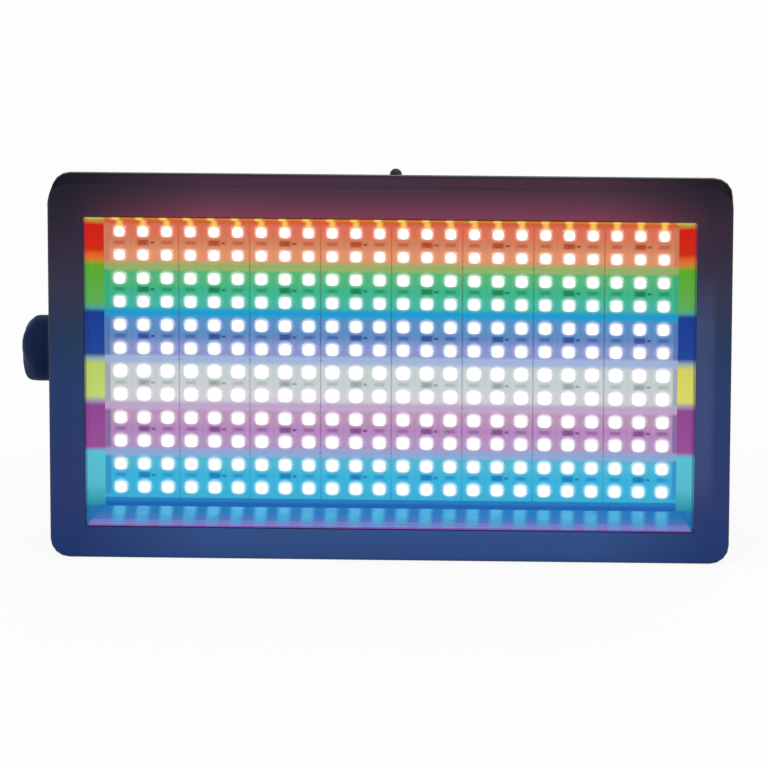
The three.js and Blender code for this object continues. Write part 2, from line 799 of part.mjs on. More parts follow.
// Bracket: a bent strap in its own frame, pivot at the origin and cross-bar towards +Y
function makeBracket() {
  const outerBend = bendRadius + strapThickness;
  const armEnd = -strapWidth / 2;
  const strap = new THREE.Shape();
  strap.moveTo(strapOuterX, armEnd);
  strap.absarc(strapOuterX - outerBend, bracketReach - outerBend, outerBend, 0, quarterTurn, false);
  strap.absarc(
    -strapOuterX + outerBend, bracketReach - outerBend, outerBend, quarterTurn, 2 * quarterTurn, false);
  strap.lineTo(-strapOuterX, armEnd);
  strap.lineTo(-strapInnerX, armEnd);
  const innerEnd = bracketReach - strapThickness - bendRadius;
  strap.absarc(-strapInnerX + bendRadius, innerEnd, bendRadius, 2 * quarterTurn, quarterTurn, true);
  strap.absarc(strapInnerX - bendRadius, innerEnd, bendRadius, quarterTurn, 0, true);
  strap.lineTo(strapInnerX, armEnd);
  const bent = new THREE.ExtrudeGeometry(
    strap, { depth: strapWidth, bevelEnabled: false, curveSegments: bendSteps });
  const side = new THREE.Shape();
  side.absarc(0, 0, strapWidth / 2, quarterTurn, 3 * quarterTurn, false);
  side.lineTo(bracketReach + overrun, armEnd);
  side.lineTo(bracketReach + overrun, -armEnd);
  const sideDepth = 2 * (strapOuterX + overrun);
  const profile = new THREE.ExtrudeGeometry(
    side, { depth: sideDepth, bevelEnabled: false, curveSegments: smallSides });
  const turn = new THREE.Matrix4().makeBasis(
    new THREE.Vector3(0, 1, 0), new THREE.Vector3(0, 0, 1), new THREE.Vector3(1, 0, 0));
  profile.applyMatrix4(turn).translate(-sideDepth / 2, 0, 0);
  const blank = solid(bent.translate(0, 0, armEnd)).intersect(solid(profile));
  const pin = new THREE.CylinderGeometry(
    studRadius + runningGap, studRadius + runningGap, sideDepth, midSides).rotateZ(quarterTurn);
  const holeEnd = bracketReach + overrun;
  const holeStart = bracketReach - strapThickness - overrun;
  return cut(blank, [
    solid(pin),
    rodY(hangHoleRadius, holeStart, holeEnd, 0, 0),
    rodY(sideHoleRadius, holeStart, holeEnd, -sideHoleSpacing / 2, 0, midSides),
    rodY(sideHoleRadius, holeStart, holeEnd, sideHoleSpacing / 2, 0, midSides),
  ]);
}

// How far the bracket's arms point below level when its cross-bar stands on the floor
function restTilt() {
  const corner = Math.hypot(bracketReach, strapWidth / 2);
  return Math.asin(midZ / corner) - Math.atan2(strapWidth / 2, bracketReach);
}

// Knob on the left: a round skirt under a lobed dome, bored for its stud
function makeKnob() {
  const outline = (mean, lobe) => {
    const points = [];
    for (let point = 0; point < knobPoints; point += 1) {
      const angle = (point / knobPoints) * 4 * quarterTurn;
      const radius = mean + lobe * Math.cos(knobLobes * (angle + quarterTurn));
      points.push(new THREE.Vector2(
        pivotY + radius * Math.cos(angle), midZ + radius * Math.sin(angle)));
    }
    return points;
  };
  const tip = gripX + knobSkirt + knobDomeDepth;
  const skirt = [
    { y: gripX, outline: outline(knobRadius, 0) },
    { y: gripX + knobSkirt, outline: outline(knobRadius, 0) },
  ];
  const dome = knobDomeShares.map(([fromTip, mean, lobe]) => (
    { y: tip - fromTip * knobDomeDepth, outline: outline(mean * knobRadius, lobe * knobRadius) }));
  const body = loft([...skirt, ...dome]).rotate([0, 0, 90]);
  return body.subtract(
    rodX(studRadius + seatGap, -gripX - knobBoreDepth, -gripX + overrun, midSides));
}

function makeKnobStud() {
  const inner = padX - insertLength;
  return rodX(studRadius, -gripX - knobBoreDepth + seatGap, -inner, midSides);
}

function makePivotScrew() {
  const end = gripX + pivotHeadHeight;
  const head = rodX(pivotHeadRadius, gripX, end);
  const shank = rodX(studRadius, gripX - pivotScrewGrip, gripX + pivotHeadHeight / 2, midSides);
  const socket = rodX(hexRadius, end - hexDepth, end + overrun, hexSides);
  return join([head, shank]).subtract(socket);
}

function makeWasher(side) {
  const ends = [side * washerX, side * (washerX + washerThickness)].sort((a, b) => a - b);
  const hole = rodX(studRadius + runningGap, ends[0] - overrun, ends[1] + overrun, midSides);
  return rodX(washerRadius, ends[0], ends[1]).subtract(hole);
}

function makeInsert(side) {
  const face = padX - seatGap;
  const ends = [side * face, side * (face - insertLength)].sort((a, b) => a - b);
  const hole = rodX(studRadius + runningGap, ends[0] - overrun, ends[1] + overrun, midSides);
  return rodX(insertRadius, ends[0], ends[1], midSides).subtract(hole);
}

// Fan frame: square, with a round duct and four struts that carry the shaft
function makeFanFrame() {
  const end = backInnerY - seatGap;
  const block = prism(
    roundedRect(fanSize / 2, fanSize / 2, fanCorner, smallCornerSteps, fanX, fanZ), fanFrontY, end);
  const duct = rodY(fanBoreRadius, fanFrontY - overrun, end + overrun, fanX, fanZ);
  const strutEnd = fanFrontY + fanStrutDepth;
  const reach = 2 * fanBoreRadius + overrun;
  const struts = [
    bar(reach, fanStrutWidth, fanFrontY, strutEnd, fanX, fanZ),
    bar(fanStrutWidth, reach, fanFrontY, strutEnd, fanX, fanZ),
    rodY(fanHubRadius, fanFrontY, strutEnd, fanX, fanZ, midSides),
  ];
  const holes = fanScrewPlaces().map(([x, z]) =>
    rodY(pilotRadius, fanFrontY - overrun, end + overrun, x, z, smallSides));
  const bearing = rodY(
    fanShaftRadius + seatGap, fanFrontY - overrun, strutEnd + overrun, fanX, fanZ, smallSides);
  return cut(join([block.subtract(duct), ...struts]), [...holes, bearing]);
}

// Fan rotor: hub, seven pitched blades and the shaft
function makeFanRotor() {
  const start = fanFrontY + fanStrutDepth + runningGap;
  const end = backInnerY - seatGap - hubEndGap;
  const hub = rodY(fanHubRadius, start, end, fanX, fanZ);
  const shaft = rodY(fanShaftRadius, fanFrontY + runningGap, start + overrun, fanX, fanZ, smallSides);
  const span = fanBoreRadius - bladeTipGap - fanHubRadius + bladeRoot;
  const blades = [];
  for (let blade = 0; blade < fanBlades; blade += 1) {
    const geometry = new THREE.BoxGeometry(span, bladeChord, bladeThickness)
      .rotateX(quarterTurn / 2)
      .translate(fanHubRadius - bladeRoot + span / 2, 0, 0)
      .rotateY((blade / fanBlades) * 4 * quarterTurn)
      .translate(fanX, (start + end) / 2, fanZ);
    blades.push(solid(geometry));
  }
  return join([hub, shaft, ...blades]);
}

function makeDisplayLens() {
  const width = displayWidth - 2 * seatGap;
  const height = displayHeight - 2 * seatGap;
  const flangeBack = lensFlangeY + lensFlangeThickness;
  return join([
    bar(width, height, lensFlangeY, backY - lensSink, displayX, displayZ),
    bar(width + 2 * lensFlange, height + 2 * lensFlange, lensFlangeY, flangeBack, displayX, displayZ),
  ]);
}

function makeDisplayModule() {
  return bar(
    displayWidth + 2 * displayRim, displayHeight + displayRim, displayFrontY,
    displayFrontY + displayDepth, displayX, displayZ);
}

function makeButton(x) {
  return join([
    rodY(buttonRadius, buttonBackY, backY + buttonProud, x, displayZ, midSides),
    rodY(buttonFlangeRadius, buttonBackY, buttonBackY + buttonFlangeThickness, x, displayZ, midSides),
  ]);
}

// Control board with a switch behind each button
function makeControlBoard() {
  const board = bar(2 * panelHalf, controlHeight, controlFrontY, controlBackY, panelX, displayZ);
  const plungerEnd = buttonBackY - buttonTravel - buttonRest;
  const root = controlBackY - boardThickness / 2;
  const switches = buttonXs.flatMap((x) => [
    bar(switchSize, switchSize, root, controlBackY + switchHeight, x, displayZ),
    rodY(plungerRadius, root, plungerEnd, x, displayZ, shankSides),
  ]);
  const holes = stakeHoles(controlPostPlaces(), controlFrontY, controlBackY);
  return cut(join([board, ...switches]), holes);
}

function makeMicrophone() {
  return rodY(micRadius, backInnerY - seatGap - micDepth, backInnerY - seatGap, micX, micZ, midSides);
}

// Power inlet: a recess with three blades, in a flange with two screws
function makePowerInlet() {
  const flangeStart = backY + seatGap;
  const face = flangeStart + flangePlate;
  const flange = prism(
    roundedRect(inletFlangeWidth / 2, inletFlangeHeight / 2, flangeCorner, smallCornerSteps,
      inletX, connectorZ),
    flangeStart, face);
  const body = bar(inletWidth, inletHeight, face - inletDepth, face, inletX, connectorZ);
  const halfX = inletWidth / 2 - inletWallSide;
  const halfZ = inletHeight / 2 - inletWallTop;
  const floor = face - inletDepth + inletFloor;
  const recess = prism([
    new THREE.Vector2(inletX - halfX, connectorZ - halfZ),
    new THREE.Vector2(inletX + halfX, connectorZ - halfZ),
    new THREE.Vector2(inletX + halfX, connectorZ + halfZ - inletChamfer),
    new THREE.Vector2(inletX + halfX - inletChamfer, connectorZ + halfZ),
    new THREE.Vector2(inletX - halfX + inletChamfer, connectorZ + halfZ),
    new THREE.Vector2(inletX - halfX, connectorZ + halfZ - inletChamfer),
  ], floor, face + overrun);
  const bladeZ = connectorZ - bladeRise / 2;
  const blades = [
    [inletX - bladeSpacing, bladeZ],
    [inletX, bladeZ + 2 * bladeRise],
    [inletX + bladeSpacing, bladeZ],
  ].map(([x, z]) => bar(bladeWidth, bladeHeight, floor - overrun, face - bladeInset, x, z));
  const holes = inletScrewPlaces().map(([x, z]) =>
    rodY(pilotRadius, flangeStart - overrun, face + overrun, x, z, smallSides));
  return cut(join([cut(join([flange, body]), [recess]), ...blades]), holes);
}

function dmxFlange(x) {
  const start = backY + seatGap;
  const places = dmxScrewPlaces().filter(([screwX]) => Math.abs(screwX - x) < dmxFlangeWidth / 2);
  const holes = places.map(([screwX, z]) =>
    rodY(pilotRadius, start - overrun, start + dmxFlangeThickness + overrun, screwX, z, smallSides));
  const flange = prism(
    roundedRect(dmxFlangeWidth / 2, dmxFlangeHeight / 2, flangeCorner, smallCornerSteps, x, connectorZ),
    start, start + dmxFlangeThickness);
  return { face: start + dmxFlangeThickness, flange, holes };
}

// Signal input: a round recess with three pins
function makeDmxIn() {
  const { face, flange, holes } = dmxFlange(dmxInX);
  const barrel = rodY(dmxBarrelRadius, face - dmxDepth, face, dmxInX, connectorZ);
  const floor = face - dmxDepth + dmxFloor;
  const recess = rodY(dmxRecessRadius, floor, face + overrun, dmxInX, connectorZ);
  const pins = [[-dmxPinCircle, 0], [dmxPinCircle, 0], [0, -dmxPinCircle]].map(([dx, dz]) =>
    rodY(dmxPinRadius, floor - overrun, face - dmxPinInset, dmxInX + dx, connectorZ + dz, shankSides));
  return cut(join([cut(join([flange, barrel]), [recess]), ...pins]), holes);
}

// Signal output: three contact holes and a slot for the latch
function makeDmxOut() {
  const { face, flange, holes } = dmxFlange(dmxOutX);
  const barrel = rodY(dmxBarrelRadius, face - dmxDepth, face, dmxOutX, connectorZ);
  const contacts = [[-dmxPinCircle, 0], [dmxPinCircle, 0], [0, -dmxPinCircle]].map(([dx, dz]) =>
    rodY(dmxHoleRadius, face - dmxHoleDepth, face + overrun, dmxOutX + dx, connectorZ + dz, smallSides));
  const slot = bar(
    latchWidth + 2 * latchSlotGap, latchHeight + 2 * latchSlotGap,
    face - latchLength - latchTravel, face + overrun, dmxOutX, connectorZ + latchOffset);
  return cut(join([flange, barrel]), [...holes, ...contacts, slot]);
}

function makeDmxLatch() {
  const face = backY + seatGap + dmxFlangeThickness;
  const z = connectorZ + latchOffset;
  return bar(latchWidth, latchHeight, face - latchLength + seatGap, face + latchProud, dmxOutX, z);
}

// Safety eye: a ring on a collar, its shank through the back wall
function makeEyeBolt() {
  const base = backY + seatGap;
  const collar = rodY(eyeCollarRadius, base, base + eyeCollarHeight, 0, eyeZ, midSides);
  const shank = rodY(eyeShankRadius, base - eyeShankLength, base + overrun, 0, eyeZ, smallSides);
  const ringY = base + eyeCollarHeight + eyeRingRadius + eyeTubeRadius / 2;
  const ring = new THREE.TorusGeometry(eyeRingRadius, eyeTubeRadius, ringTubeSides, ringSteps)
    .rotateY(quarterTurn)
    .translate(0, ringY, eyeZ);
  return join([collar, shank, solid(ring)]);
}

function makeEyeNut() {
  const end = backInnerY - seatGap;
  const hole = rodY(
    eyeShankRadius + seatGap, end - eyeNutHeight - overrun, end + overrun, 0, eyeZ, smallSides);
  return rodY(eyeNutRadius, end - eyeNutHeight, end, 0, eyeZ, hexSides).subtract(hole);
}

// Power supply: a board on posts, with its parts towards the front
function makePowerSupply() {
  const root = supplyFrontY + boardThickness / 2;
  const board = bar(supplyWidth, supplyHeight, supplyFrontY, supplyBackY, supplyX, supplyZ);
  const left = supplyLeft + supplyPartInset;
  const right = supplyRight - supplyPartInset;
  const bottom = supplyZ - supplyHeight / 2 + supplyPartInset;
  const top = supplyZ + supplyHeight / 2 - supplyPartInset;
  const parts = [
    bar(transformerWidth, transformerHeight, supplyReachY + transformerDrop, root, supplyX, supplyZ),
    rodY(capacitorRadius, supplyReachY, root, right - capacitorRadius,
      bottom + 2 * supplyPartInset + capacitorRadius, midSides),
    rodY(capacitorRadius / 2, supplyReachY, root, supplyX,
      top - 2 * capacitorRadius, smallSides),
    bar(sinkWidth, sinkHeight, supplyReachY + sinkDrop, root, right, supplyZ),
    ...terminalZs.map((z) => bar(
      terminalSize, terminalSize, supplyFrontY - terminalSize, root, left + terminalSize / 2, z)),
  ];
  return cut(join([board, ...parts]), stakeHoles(supplyPostPlaces(), supplyFrontY, supplyBackY));
}

// Driver board: on posts of the LED plate, with chips and two headers towards the back
function makeDriverBoard() {
  const root = driverBackY - boardThickness / 2;
  const board = bar(driverWidth, driverHeight, driverFrontY, driverBackY, driverX, driverZ);
  const chips = [];
  for (let chip = 0; chip < chipCount; chip += 1) {
    const x = driverX + ((chip + 1 / 2) / chipCount - 1 / 2) * (driverWidth - 2 * postInset);
    const z = driverZ - chipRowShare * driverHeight;
    chips.push(bar(chipSize, chipSize, root, driverBackY + chipHeight, x, z));
  }
  const headers = [-1, 1].map((side) => bar(
    headerWidth, headerHeight, root, driverBackY + headerDepth,
    driverX + (side * driverWidth) / 4, driverZ + driverHeight / 2 - postInset - headerHeight));
  return cut(
    join([board, ...chips, ...headers]), stakeHoles(driverPostPlaces(), driverFrontY, driverBackY));
}

// A lead: an eight-sided tube along a smooth curve
function makeLead(points) {
  const curve = new THREE.CatmullRomCurve3(points.map(([x, y, z]) => new THREE.Vector3(x, y, z)));
  const section = new THREE.Shape();
  for (let side = 0; side < leadSides; side += 1) {
    const angle = (side / leadSides) * 4 * quarterTurn;
    const x = leadRadius * Math.cos(angle);
    const y = leadRadius * Math.sin(angle);
    if (side === 0) section.moveTo(x, y);
    else section.lineTo(x, y);
  }
  section.closePath();
  const options = { steps: leadSteps, extrudePath: curve, curveSegments: 1 };
  return solid(new THREE.ExtrudeGeometry(section, options));
}

// Mains lead: from behind the inlet to the supply's lower terminal
function makeMainsLead() {
  const startY = backY + seatGap + flangePlate - inletDepth - seatGap;
  const endX = supplyLeft + supplyPartInset - seatGap;
  const endY = supplyFrontY - terminalSize / 2;
  const endZ = terminalZs[0];
  const bendY = (startY + plateBackY) / 2;
  return makeLead([
    [inletX, startY, connectorZ],
    [inletX, startY - leadRadius, connectorZ],
    [inletX + leadSag, bendY, connectorZ],
    [inletX + terminalSize + leadSag, bendY, (connectorZ + endZ) / 2],
    [endX - terminalSize, endY - leadRadius, endZ],
    [endX - leadRadius, endY, endZ],
    [endX, endY, endZ],
  ]);
}

// Direct current lead: from the supply's upper terminal to the driver board's near header
function makePowerLead() {
  const startX = supplyLeft + supplyPartInset - seatGap;
  const startY = supplyFrontY - terminalSize / 2;
  const startZ = terminalZs[1];
  const endX = driverX + driverWidth / 4;
  const endY = driverBackY + headerDepth + seatGap;
  const endZ = driverZ + driverHeight / 2 - postInset - headerHeight;
  return makeLead([
    [startX, startY, startZ],
    [startX - leadRadius, startY, startZ],
    [startX - leadSag, startY, endZ],
    [(startX + endX) / 2, (startY + endY) / 2 + leadRadius, endZ + leadRadius],
    [endX + leadRadius, endY + leadSag, endZ],
    [endX, endY + leadSag - leadRadius, endZ],
    [endX, endY, endZ],
  ]);
}

piece("front_shell", makeFrontShell(), 0x24242c, 0.55, 0);
piece("window", makeWindow(), 0xf2f6f8, 0.08, 0);
piece("reflector", makeReflector(), 0xc9ccd2, 0.25, 0.7);
const bandColours = [0xf05a3c, 0x3fb877, 0x3f6fd0, 0xd6d2dc, 0xc07ac0, 0x2fb0e0];
bandColours.forEach((colour, band) => {
  piece("led_strip_" + (band + 1), makeStrip(band), colour, 0.5, 0);
});
piece("led_plate", makeLedPlate(), 0xb9bcc0, 0.4, 0.8);
plateScrewPlaces.forEach(([x, z], place) => {
  const screw = panScrew(plateBackY + seatGap, plateScrewLength, x, midZ + z);
  piece("plate_screw_" + (place + 1), screw, 0x9a9da1, 0.35, 0.9);
});
piece("rear_shell", makeRearShell(), 0x222226, 0.6, 0);
caseScrewPlaces.forEach(([x, z], place) => {
  const screw = panScrew(pocketY + seatGap, caseScrewLength, x, midZ + z);
  piece("case_screw_" + (place + 1), screw, 0x3a3a3d, 0.4, 0.9);
});
piece("eye_bolt", makeEyeBolt(), 0x8f9296, 0.35, 0.9);
piece("eye_nut", makeEyeNut(), 0x8f9296, 0.35, 0.9);

const swing = new THREE.Group();
swing.position.set(0, pivotY, midZ);
swing.rotation.x = -restTilt();
object.add(swing);
piece("bracket", makeBracket(), 0x1c1c1f, 0.5, 0.6, swing);

piece("knob", makeKnob(), 0x1f2430, 0.5, 0);
piece("knob_stud", makeKnobStud(), 0x9a9da1, 0.3, 0.9);
piece("pivot_screw", makePivotScrew(), 0x2b2b2e, 0.4, 0.9);
piece("friction_washer_left", makeWasher(-1), 0x18181a, 0.9, 0);
piece("friction_washer_right", makeWasher(1), 0x18181a, 0.9, 0);
piece("pivot_insert_left", makeInsert(-1), 0xb08d4f, 0.35, 0.9);
piece("pivot_insert_right", makeInsert(1), 0xb08d4f, 0.35, 0.9);
piece("display_module", makeDisplayModule(), 0x2a2a2c, 0.5, 0);
piece("display_lens", makeDisplayLens(), 0x3a1014, 0.1, 0);
["menu", "down", "up", "enter"].forEach((name, place) => {
  piece(name + "_button", makeButton(buttonXs[place]), 0x303034, 0.6, 0);
});
piece("control_board", makeControlBoard(), 0x1d5a37, 0.5, 0);
piece("microphone", makeMicrophone(), 0x8d9094, 0.4, 0.8);
piece("power_inlet", makePowerInlet(), 0x19191b, 0.5, 0);
inletScrewPlaces().forEach(([x, z], place) => {
  const seat = backY + seatGap + flangePlate + seatGap;
  piece("inlet_screw_" + (place + 1), panScrew(seat, inletScrewLength, x, z), 0x3a3a3d, 0.4, 0.9);
});
piece("dmx_in_socket", makeDmxIn(), 0x8d9094, 0.4, 0.8);
piece("dmx_out_socket", makeDmxOut(), 0x26262a, 0.5, 0.3);
piece("dmx_latch", makeDmxLatch(), 0x9a9da1, 0.35, 0.9);
dmxScrewPlaces().forEach(([x, z], place) => {
  const seat = backY + seatGap + dmxFlangeThickness + seatGap;
  piece("dmx_screw_" + (place + 1), panScrew(seat, dmxScrewLength, x, z), 0x3a3a3d, 0.4, 0.9);
});
piece("fan_frame", makeFanFrame(), 0x1a1a1c, 0.6, 0);
piece("fan_rotor", makeFanRotor(), 0x1a1a1c, 0.6, 0);
fanScrewPlaces().forEach(([x, z], place) => {
  piece("fan_screw_" + (place + 1), panScrew(backY + seatGap, fanScrewLength, x, z), 0x3a3a3d, 0.4, 0.9);
});
piece("power_supply", makePowerSupply(), 0x2f6b3c, 0.6, 0);
piece("driver_board", makeDriverBoard(), 0x1d5a37, 0.5, 0);
piece("mains_lead", makeMainsLead(), 0x2a2a2c, 0.6, 0);
piece("power_lead", makePowerLead(), 0x8c2a22, 0.6, 0);

export default object;
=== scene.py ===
import math

import bmesh
import bpy
from mathutils import Matrix, Vector


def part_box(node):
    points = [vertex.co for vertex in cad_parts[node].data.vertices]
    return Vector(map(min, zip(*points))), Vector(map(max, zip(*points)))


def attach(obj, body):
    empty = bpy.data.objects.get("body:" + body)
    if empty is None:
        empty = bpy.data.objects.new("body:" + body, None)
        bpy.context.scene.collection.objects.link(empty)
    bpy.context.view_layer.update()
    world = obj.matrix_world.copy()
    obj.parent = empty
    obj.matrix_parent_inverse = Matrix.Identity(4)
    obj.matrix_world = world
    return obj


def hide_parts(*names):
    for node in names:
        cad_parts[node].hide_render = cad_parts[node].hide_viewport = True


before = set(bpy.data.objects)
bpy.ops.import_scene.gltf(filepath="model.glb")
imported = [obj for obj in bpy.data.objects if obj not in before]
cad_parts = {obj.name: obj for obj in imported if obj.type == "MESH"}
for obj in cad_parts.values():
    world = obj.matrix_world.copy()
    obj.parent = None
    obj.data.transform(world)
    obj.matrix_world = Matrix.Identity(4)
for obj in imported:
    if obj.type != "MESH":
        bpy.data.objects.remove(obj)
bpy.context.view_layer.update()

# Units and small measures, in millimetres unless named otherwise
MM = 0.001
PER_METRE = 1000.0
BOARD_THICKNESS = 1.6
LED_PITCH = 10.0
COLUMNS = 24
FIELD_HALF = COLUMNS * LED_PITCH / 2
# A board holds three columns of LEDs
MODULE = 3 * LED_PITCH
# How far the LEDs and parts reach into their board
ROOT_DEPTH = 0.4
BLACK = (0, 0, 0, 1)
WHITE = (1, 1, 1, 1)

# Camera: fitted to the corners of the LED field and of the opening
AZIMUTH = math.radians(-1.9482)
ELEVATION = math.radians(14.3466)
ROLL = math.radians(0.12)
DISTANCE = 3000.0
TARGET = (-2.65, 0.0, 74.5)
PIXELS_PER_MM = 2.3701
PICTURE_SIZE = 768
SENSOR_WIDTH = 36.0


def rgb(red, green, blue):
    """A colour written as 0 to 255 in the display's space, as linear values."""
    def linear(value):
        share = value / 255
        return share / 12.92 if share <= 0.04045 else ((share + 0.055) / 1.055) ** 2.4
    return (linear(red), linear(green), linear(blue), 1.0)


def box_mm(node):
    """The lowest and highest corners of a CAD node's box, in millimetres."""
    low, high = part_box(node)
    return Vector(low) * PER_METRE, Vector(high) * PER_METRE


def middle_of(node):
    low, high = box_mm(node)
    return (low + high) / 2


def add_node(tree, kind, inputs=None, **settings):
    """A node with its settings and inputs, each of them a value or a socket to link."""
    made = tree.nodes.new(kind)
    for key, value in settings.items():
        setattr(made, key, value)
    for socket, value in (inputs or {}).items():
        if isinstance(value, bpy.types.NodeSocket):
            tree.links.new(value, made.inputs[socket])
        else:
            made.inputs[socket].default_value = value
    return made


def add_object(name, data):
    made = bpy.data.objects.new(name, data)
    bpy.context.scene.collection.objects.link(made)
    return made


class Shader:
    """A Principled material whose nodes are added one call at a time."""

    def __init__(self, name, roughness=0.5, metallic=0.0, specular=0.5):
        self.made = bpy.data.materials.new(name)
        self.made.use_nodes = True
        self.tree = self.made.node_tree
        self.bsdf = self.tree.nodes["Principled BSDF"]
        self.put("Roughness", roughness)
        self.put("Metallic", metallic)
        self.put("Specular IOR Level", specular)
        coords = self.node("TexCoord")
        self.normal = coords.outputs["Normal"]
        place = {0: coords.outputs["Object"], "Scale": PER_METRE}
        self.mm = self.node("VectorMath", place, operation="SCALE").outputs[0]

    def node(self, kind, inputs=None, **settings):
        return add_node(self.tree, "ShaderNode" + kind, inputs, **settings)

    def put(self, socket, value):
        if isinstance(value, bpy.types.NodeSocket):
            self.tree.links.new(value, self.bsdf.inputs[socket])
        else:
            self.bsdf.inputs[socket].default_value = value

    def math(self, operation, *values):
        return self.node("Math", dict(enumerate(values)), operation=operation).outputs[0]

    def over(self, first, second):
        """1 where first is larger, and 0 elsewhere."""
        return self.math("GREATER_THAN", first, second)

    def times(self, product, *others):
        for other in others:
            product = self.math("MULTIPLY", product, other)
        return product

    def gap(self, first, second):
        """How far apart two values are."""
        return self.math("ABSOLUTE", self.math("SUBTRACT", first, second))

    def past(self, value, limit):
        """How far value is past limit, and 0 before it."""
        return self.math("MAXIMUM", self.math("SUBTRACT", value, limit), 0.0)

    def length(self, across, up):
        squares = [self.math("POWER", part, 2.0) for part in (across, up)]
        return self.math("SQRT", self.math("ADD", *squares))

    def from_middle(self, value, pitch):
        """How far value is from the middle of its cell; one cell starts at 0."""
        share = self.math("FRACT", self.math("DIVIDE", value, pitch))
        return self.times(self.gap(share, 0.5), pitch)

    def mix(self, share, first, second, blend="MIX"):
        return self.node("Mix", {0: share, 6: first, 7: second}, data_type="RGBA",
                         blend_type=blend).outputs[2]

    def parts(self, vector):
        return tuple(self.node("SeparateXYZ", {0: vector}).outputs)

    def join(self, x, y, z):
        return self.node("CombineXYZ", {0: x, 1: y, 2: z}).outputs[0]

    def noise(self, size, detail=3.0, rough=0.5, vector=None):
        """Noise whose features are about size millimetres wide."""
        return self.node("TexNoise", {
            "Vector": vector or self.mm, "Scale": 1 / size, "Detail": detail, "Roughness": rough,
        }).outputs["Fac"]

    def ramp(self, value, stops):
        """Colours that run into each other, from stops of (value, colour), the lowest first."""
        low, high = stops[0][0], stops[-1][0]
        made = self.node("ValToRGB", {0: self.span(value, low, high)})
        elements = made.color_ramp.elements
        while len(elements) < len(stops):
            elements.new(1.0)
        for element, (place, colour) in zip(elements, stops):
            element.position = (place - low) / (high - low)
            element.color = colour
        return made.outputs[0]

    def span(self, value, low, high, start=0.0, end=1.0, kind="LINEAR"):
        return self.node("MapRange", {0: value, 1: low, 2: high, 3: start, 4: end},
                         interpolation_type=kind).outputs[0]

    def within(self, value, high, soft):
        """1 up to high, falling to 0 over soft."""
        return self.span(value, high, high + soft, 1.0, 0.0, "SMOOTHSTEP")

    def band(self, value, low, high, soft):
        """1 between low and high, falling to 0 over soft."""
        rise = self.span(value, low - soft, low, kind="SMOOTHSTEP")
        return self.times(rise, self.within(value, high, soft))

    def uneven(self, marks, low, high):
        """Roughness that goes from low to high with the noise in marks."""
        self.put("Roughness", self.span(marks, 0.3, 0.7, low, high))

    def bump(self, height, depth, strength=1.0):
        """Bump of depth millimetres."""
        self.put("Normal", self.node("Bump", {
            "Height": height, "Distance": depth * MM, "Strength": strength}).outputs[0])

    def paint(self, colour):
        self.put("Base Color", colour)

    def glow(self, colour, strength):
        self.put("Emission Color", colour)
        self.put("Emission Strength", strength)


def plastic(name, colour, second, roughness=0.5, grain=0.35, depth=0.02, specular=0.35):
    """Moulded plastic: fine grain, and slight differences of colour and gloss."""
    made = Shader(name, specular=specular)
    made.paint(made.mix(made.noise(14.0, 2.0), colour, second))
    made.uneven(made.noise(3.0, 4.0), roughness - 0.06, roughness + 0.06)
    made.bump(made.noise(grain, 2.0), depth)
    return made.made


def metal(name, colour, second, roughness=0.3, size=0.5, depth=0.006):
    """Metal with fine marks and faint stains."""
    made = Shader(name, metallic=1.0)
    marks = made.noise(size)
    made.paint(made.mix(made.noise(6.0), colour, second))
    made.uneven(marks, roughness - 0.08, roughness + 0.1)
    made.bump(marks, depth)
    return made.made


# Shapes: rings of points joined into one mesh
def rectangle(x, z, half_x, half_z, corner, steps=4):
    """A rounded rectangle's outline about (x, z)."""
    points = []
    for quarter, (side_x, side_z) in enumerate(((1, 1), (-1, 1), (-1, -1), (1, -1))):
        for step in range(steps + 1):
            angle = math.radians(90 * (quarter + step / steps))
            points.append((x + side_x * (half_x - corner) + corner * math.cos(angle),
                           z + side_z * (half_z - corner) + corner * math.sin(angle)))
    return points


def round_outline(radius, sides, flats=0):
    """A circle's outline, or with flats that of a polygon with as many points."""
    points = []
    for side in range(sides):
        angle = 2 * math.pi * side / sides
        reach = radius
        if flats:
            part = 2 * math.pi / flats
            reach = radius * math.cos(part / 2) / math.cos(angle % part - part / 2)
        points.append((reach * math.cos(angle), reach * math.sin(angle)))
    return points


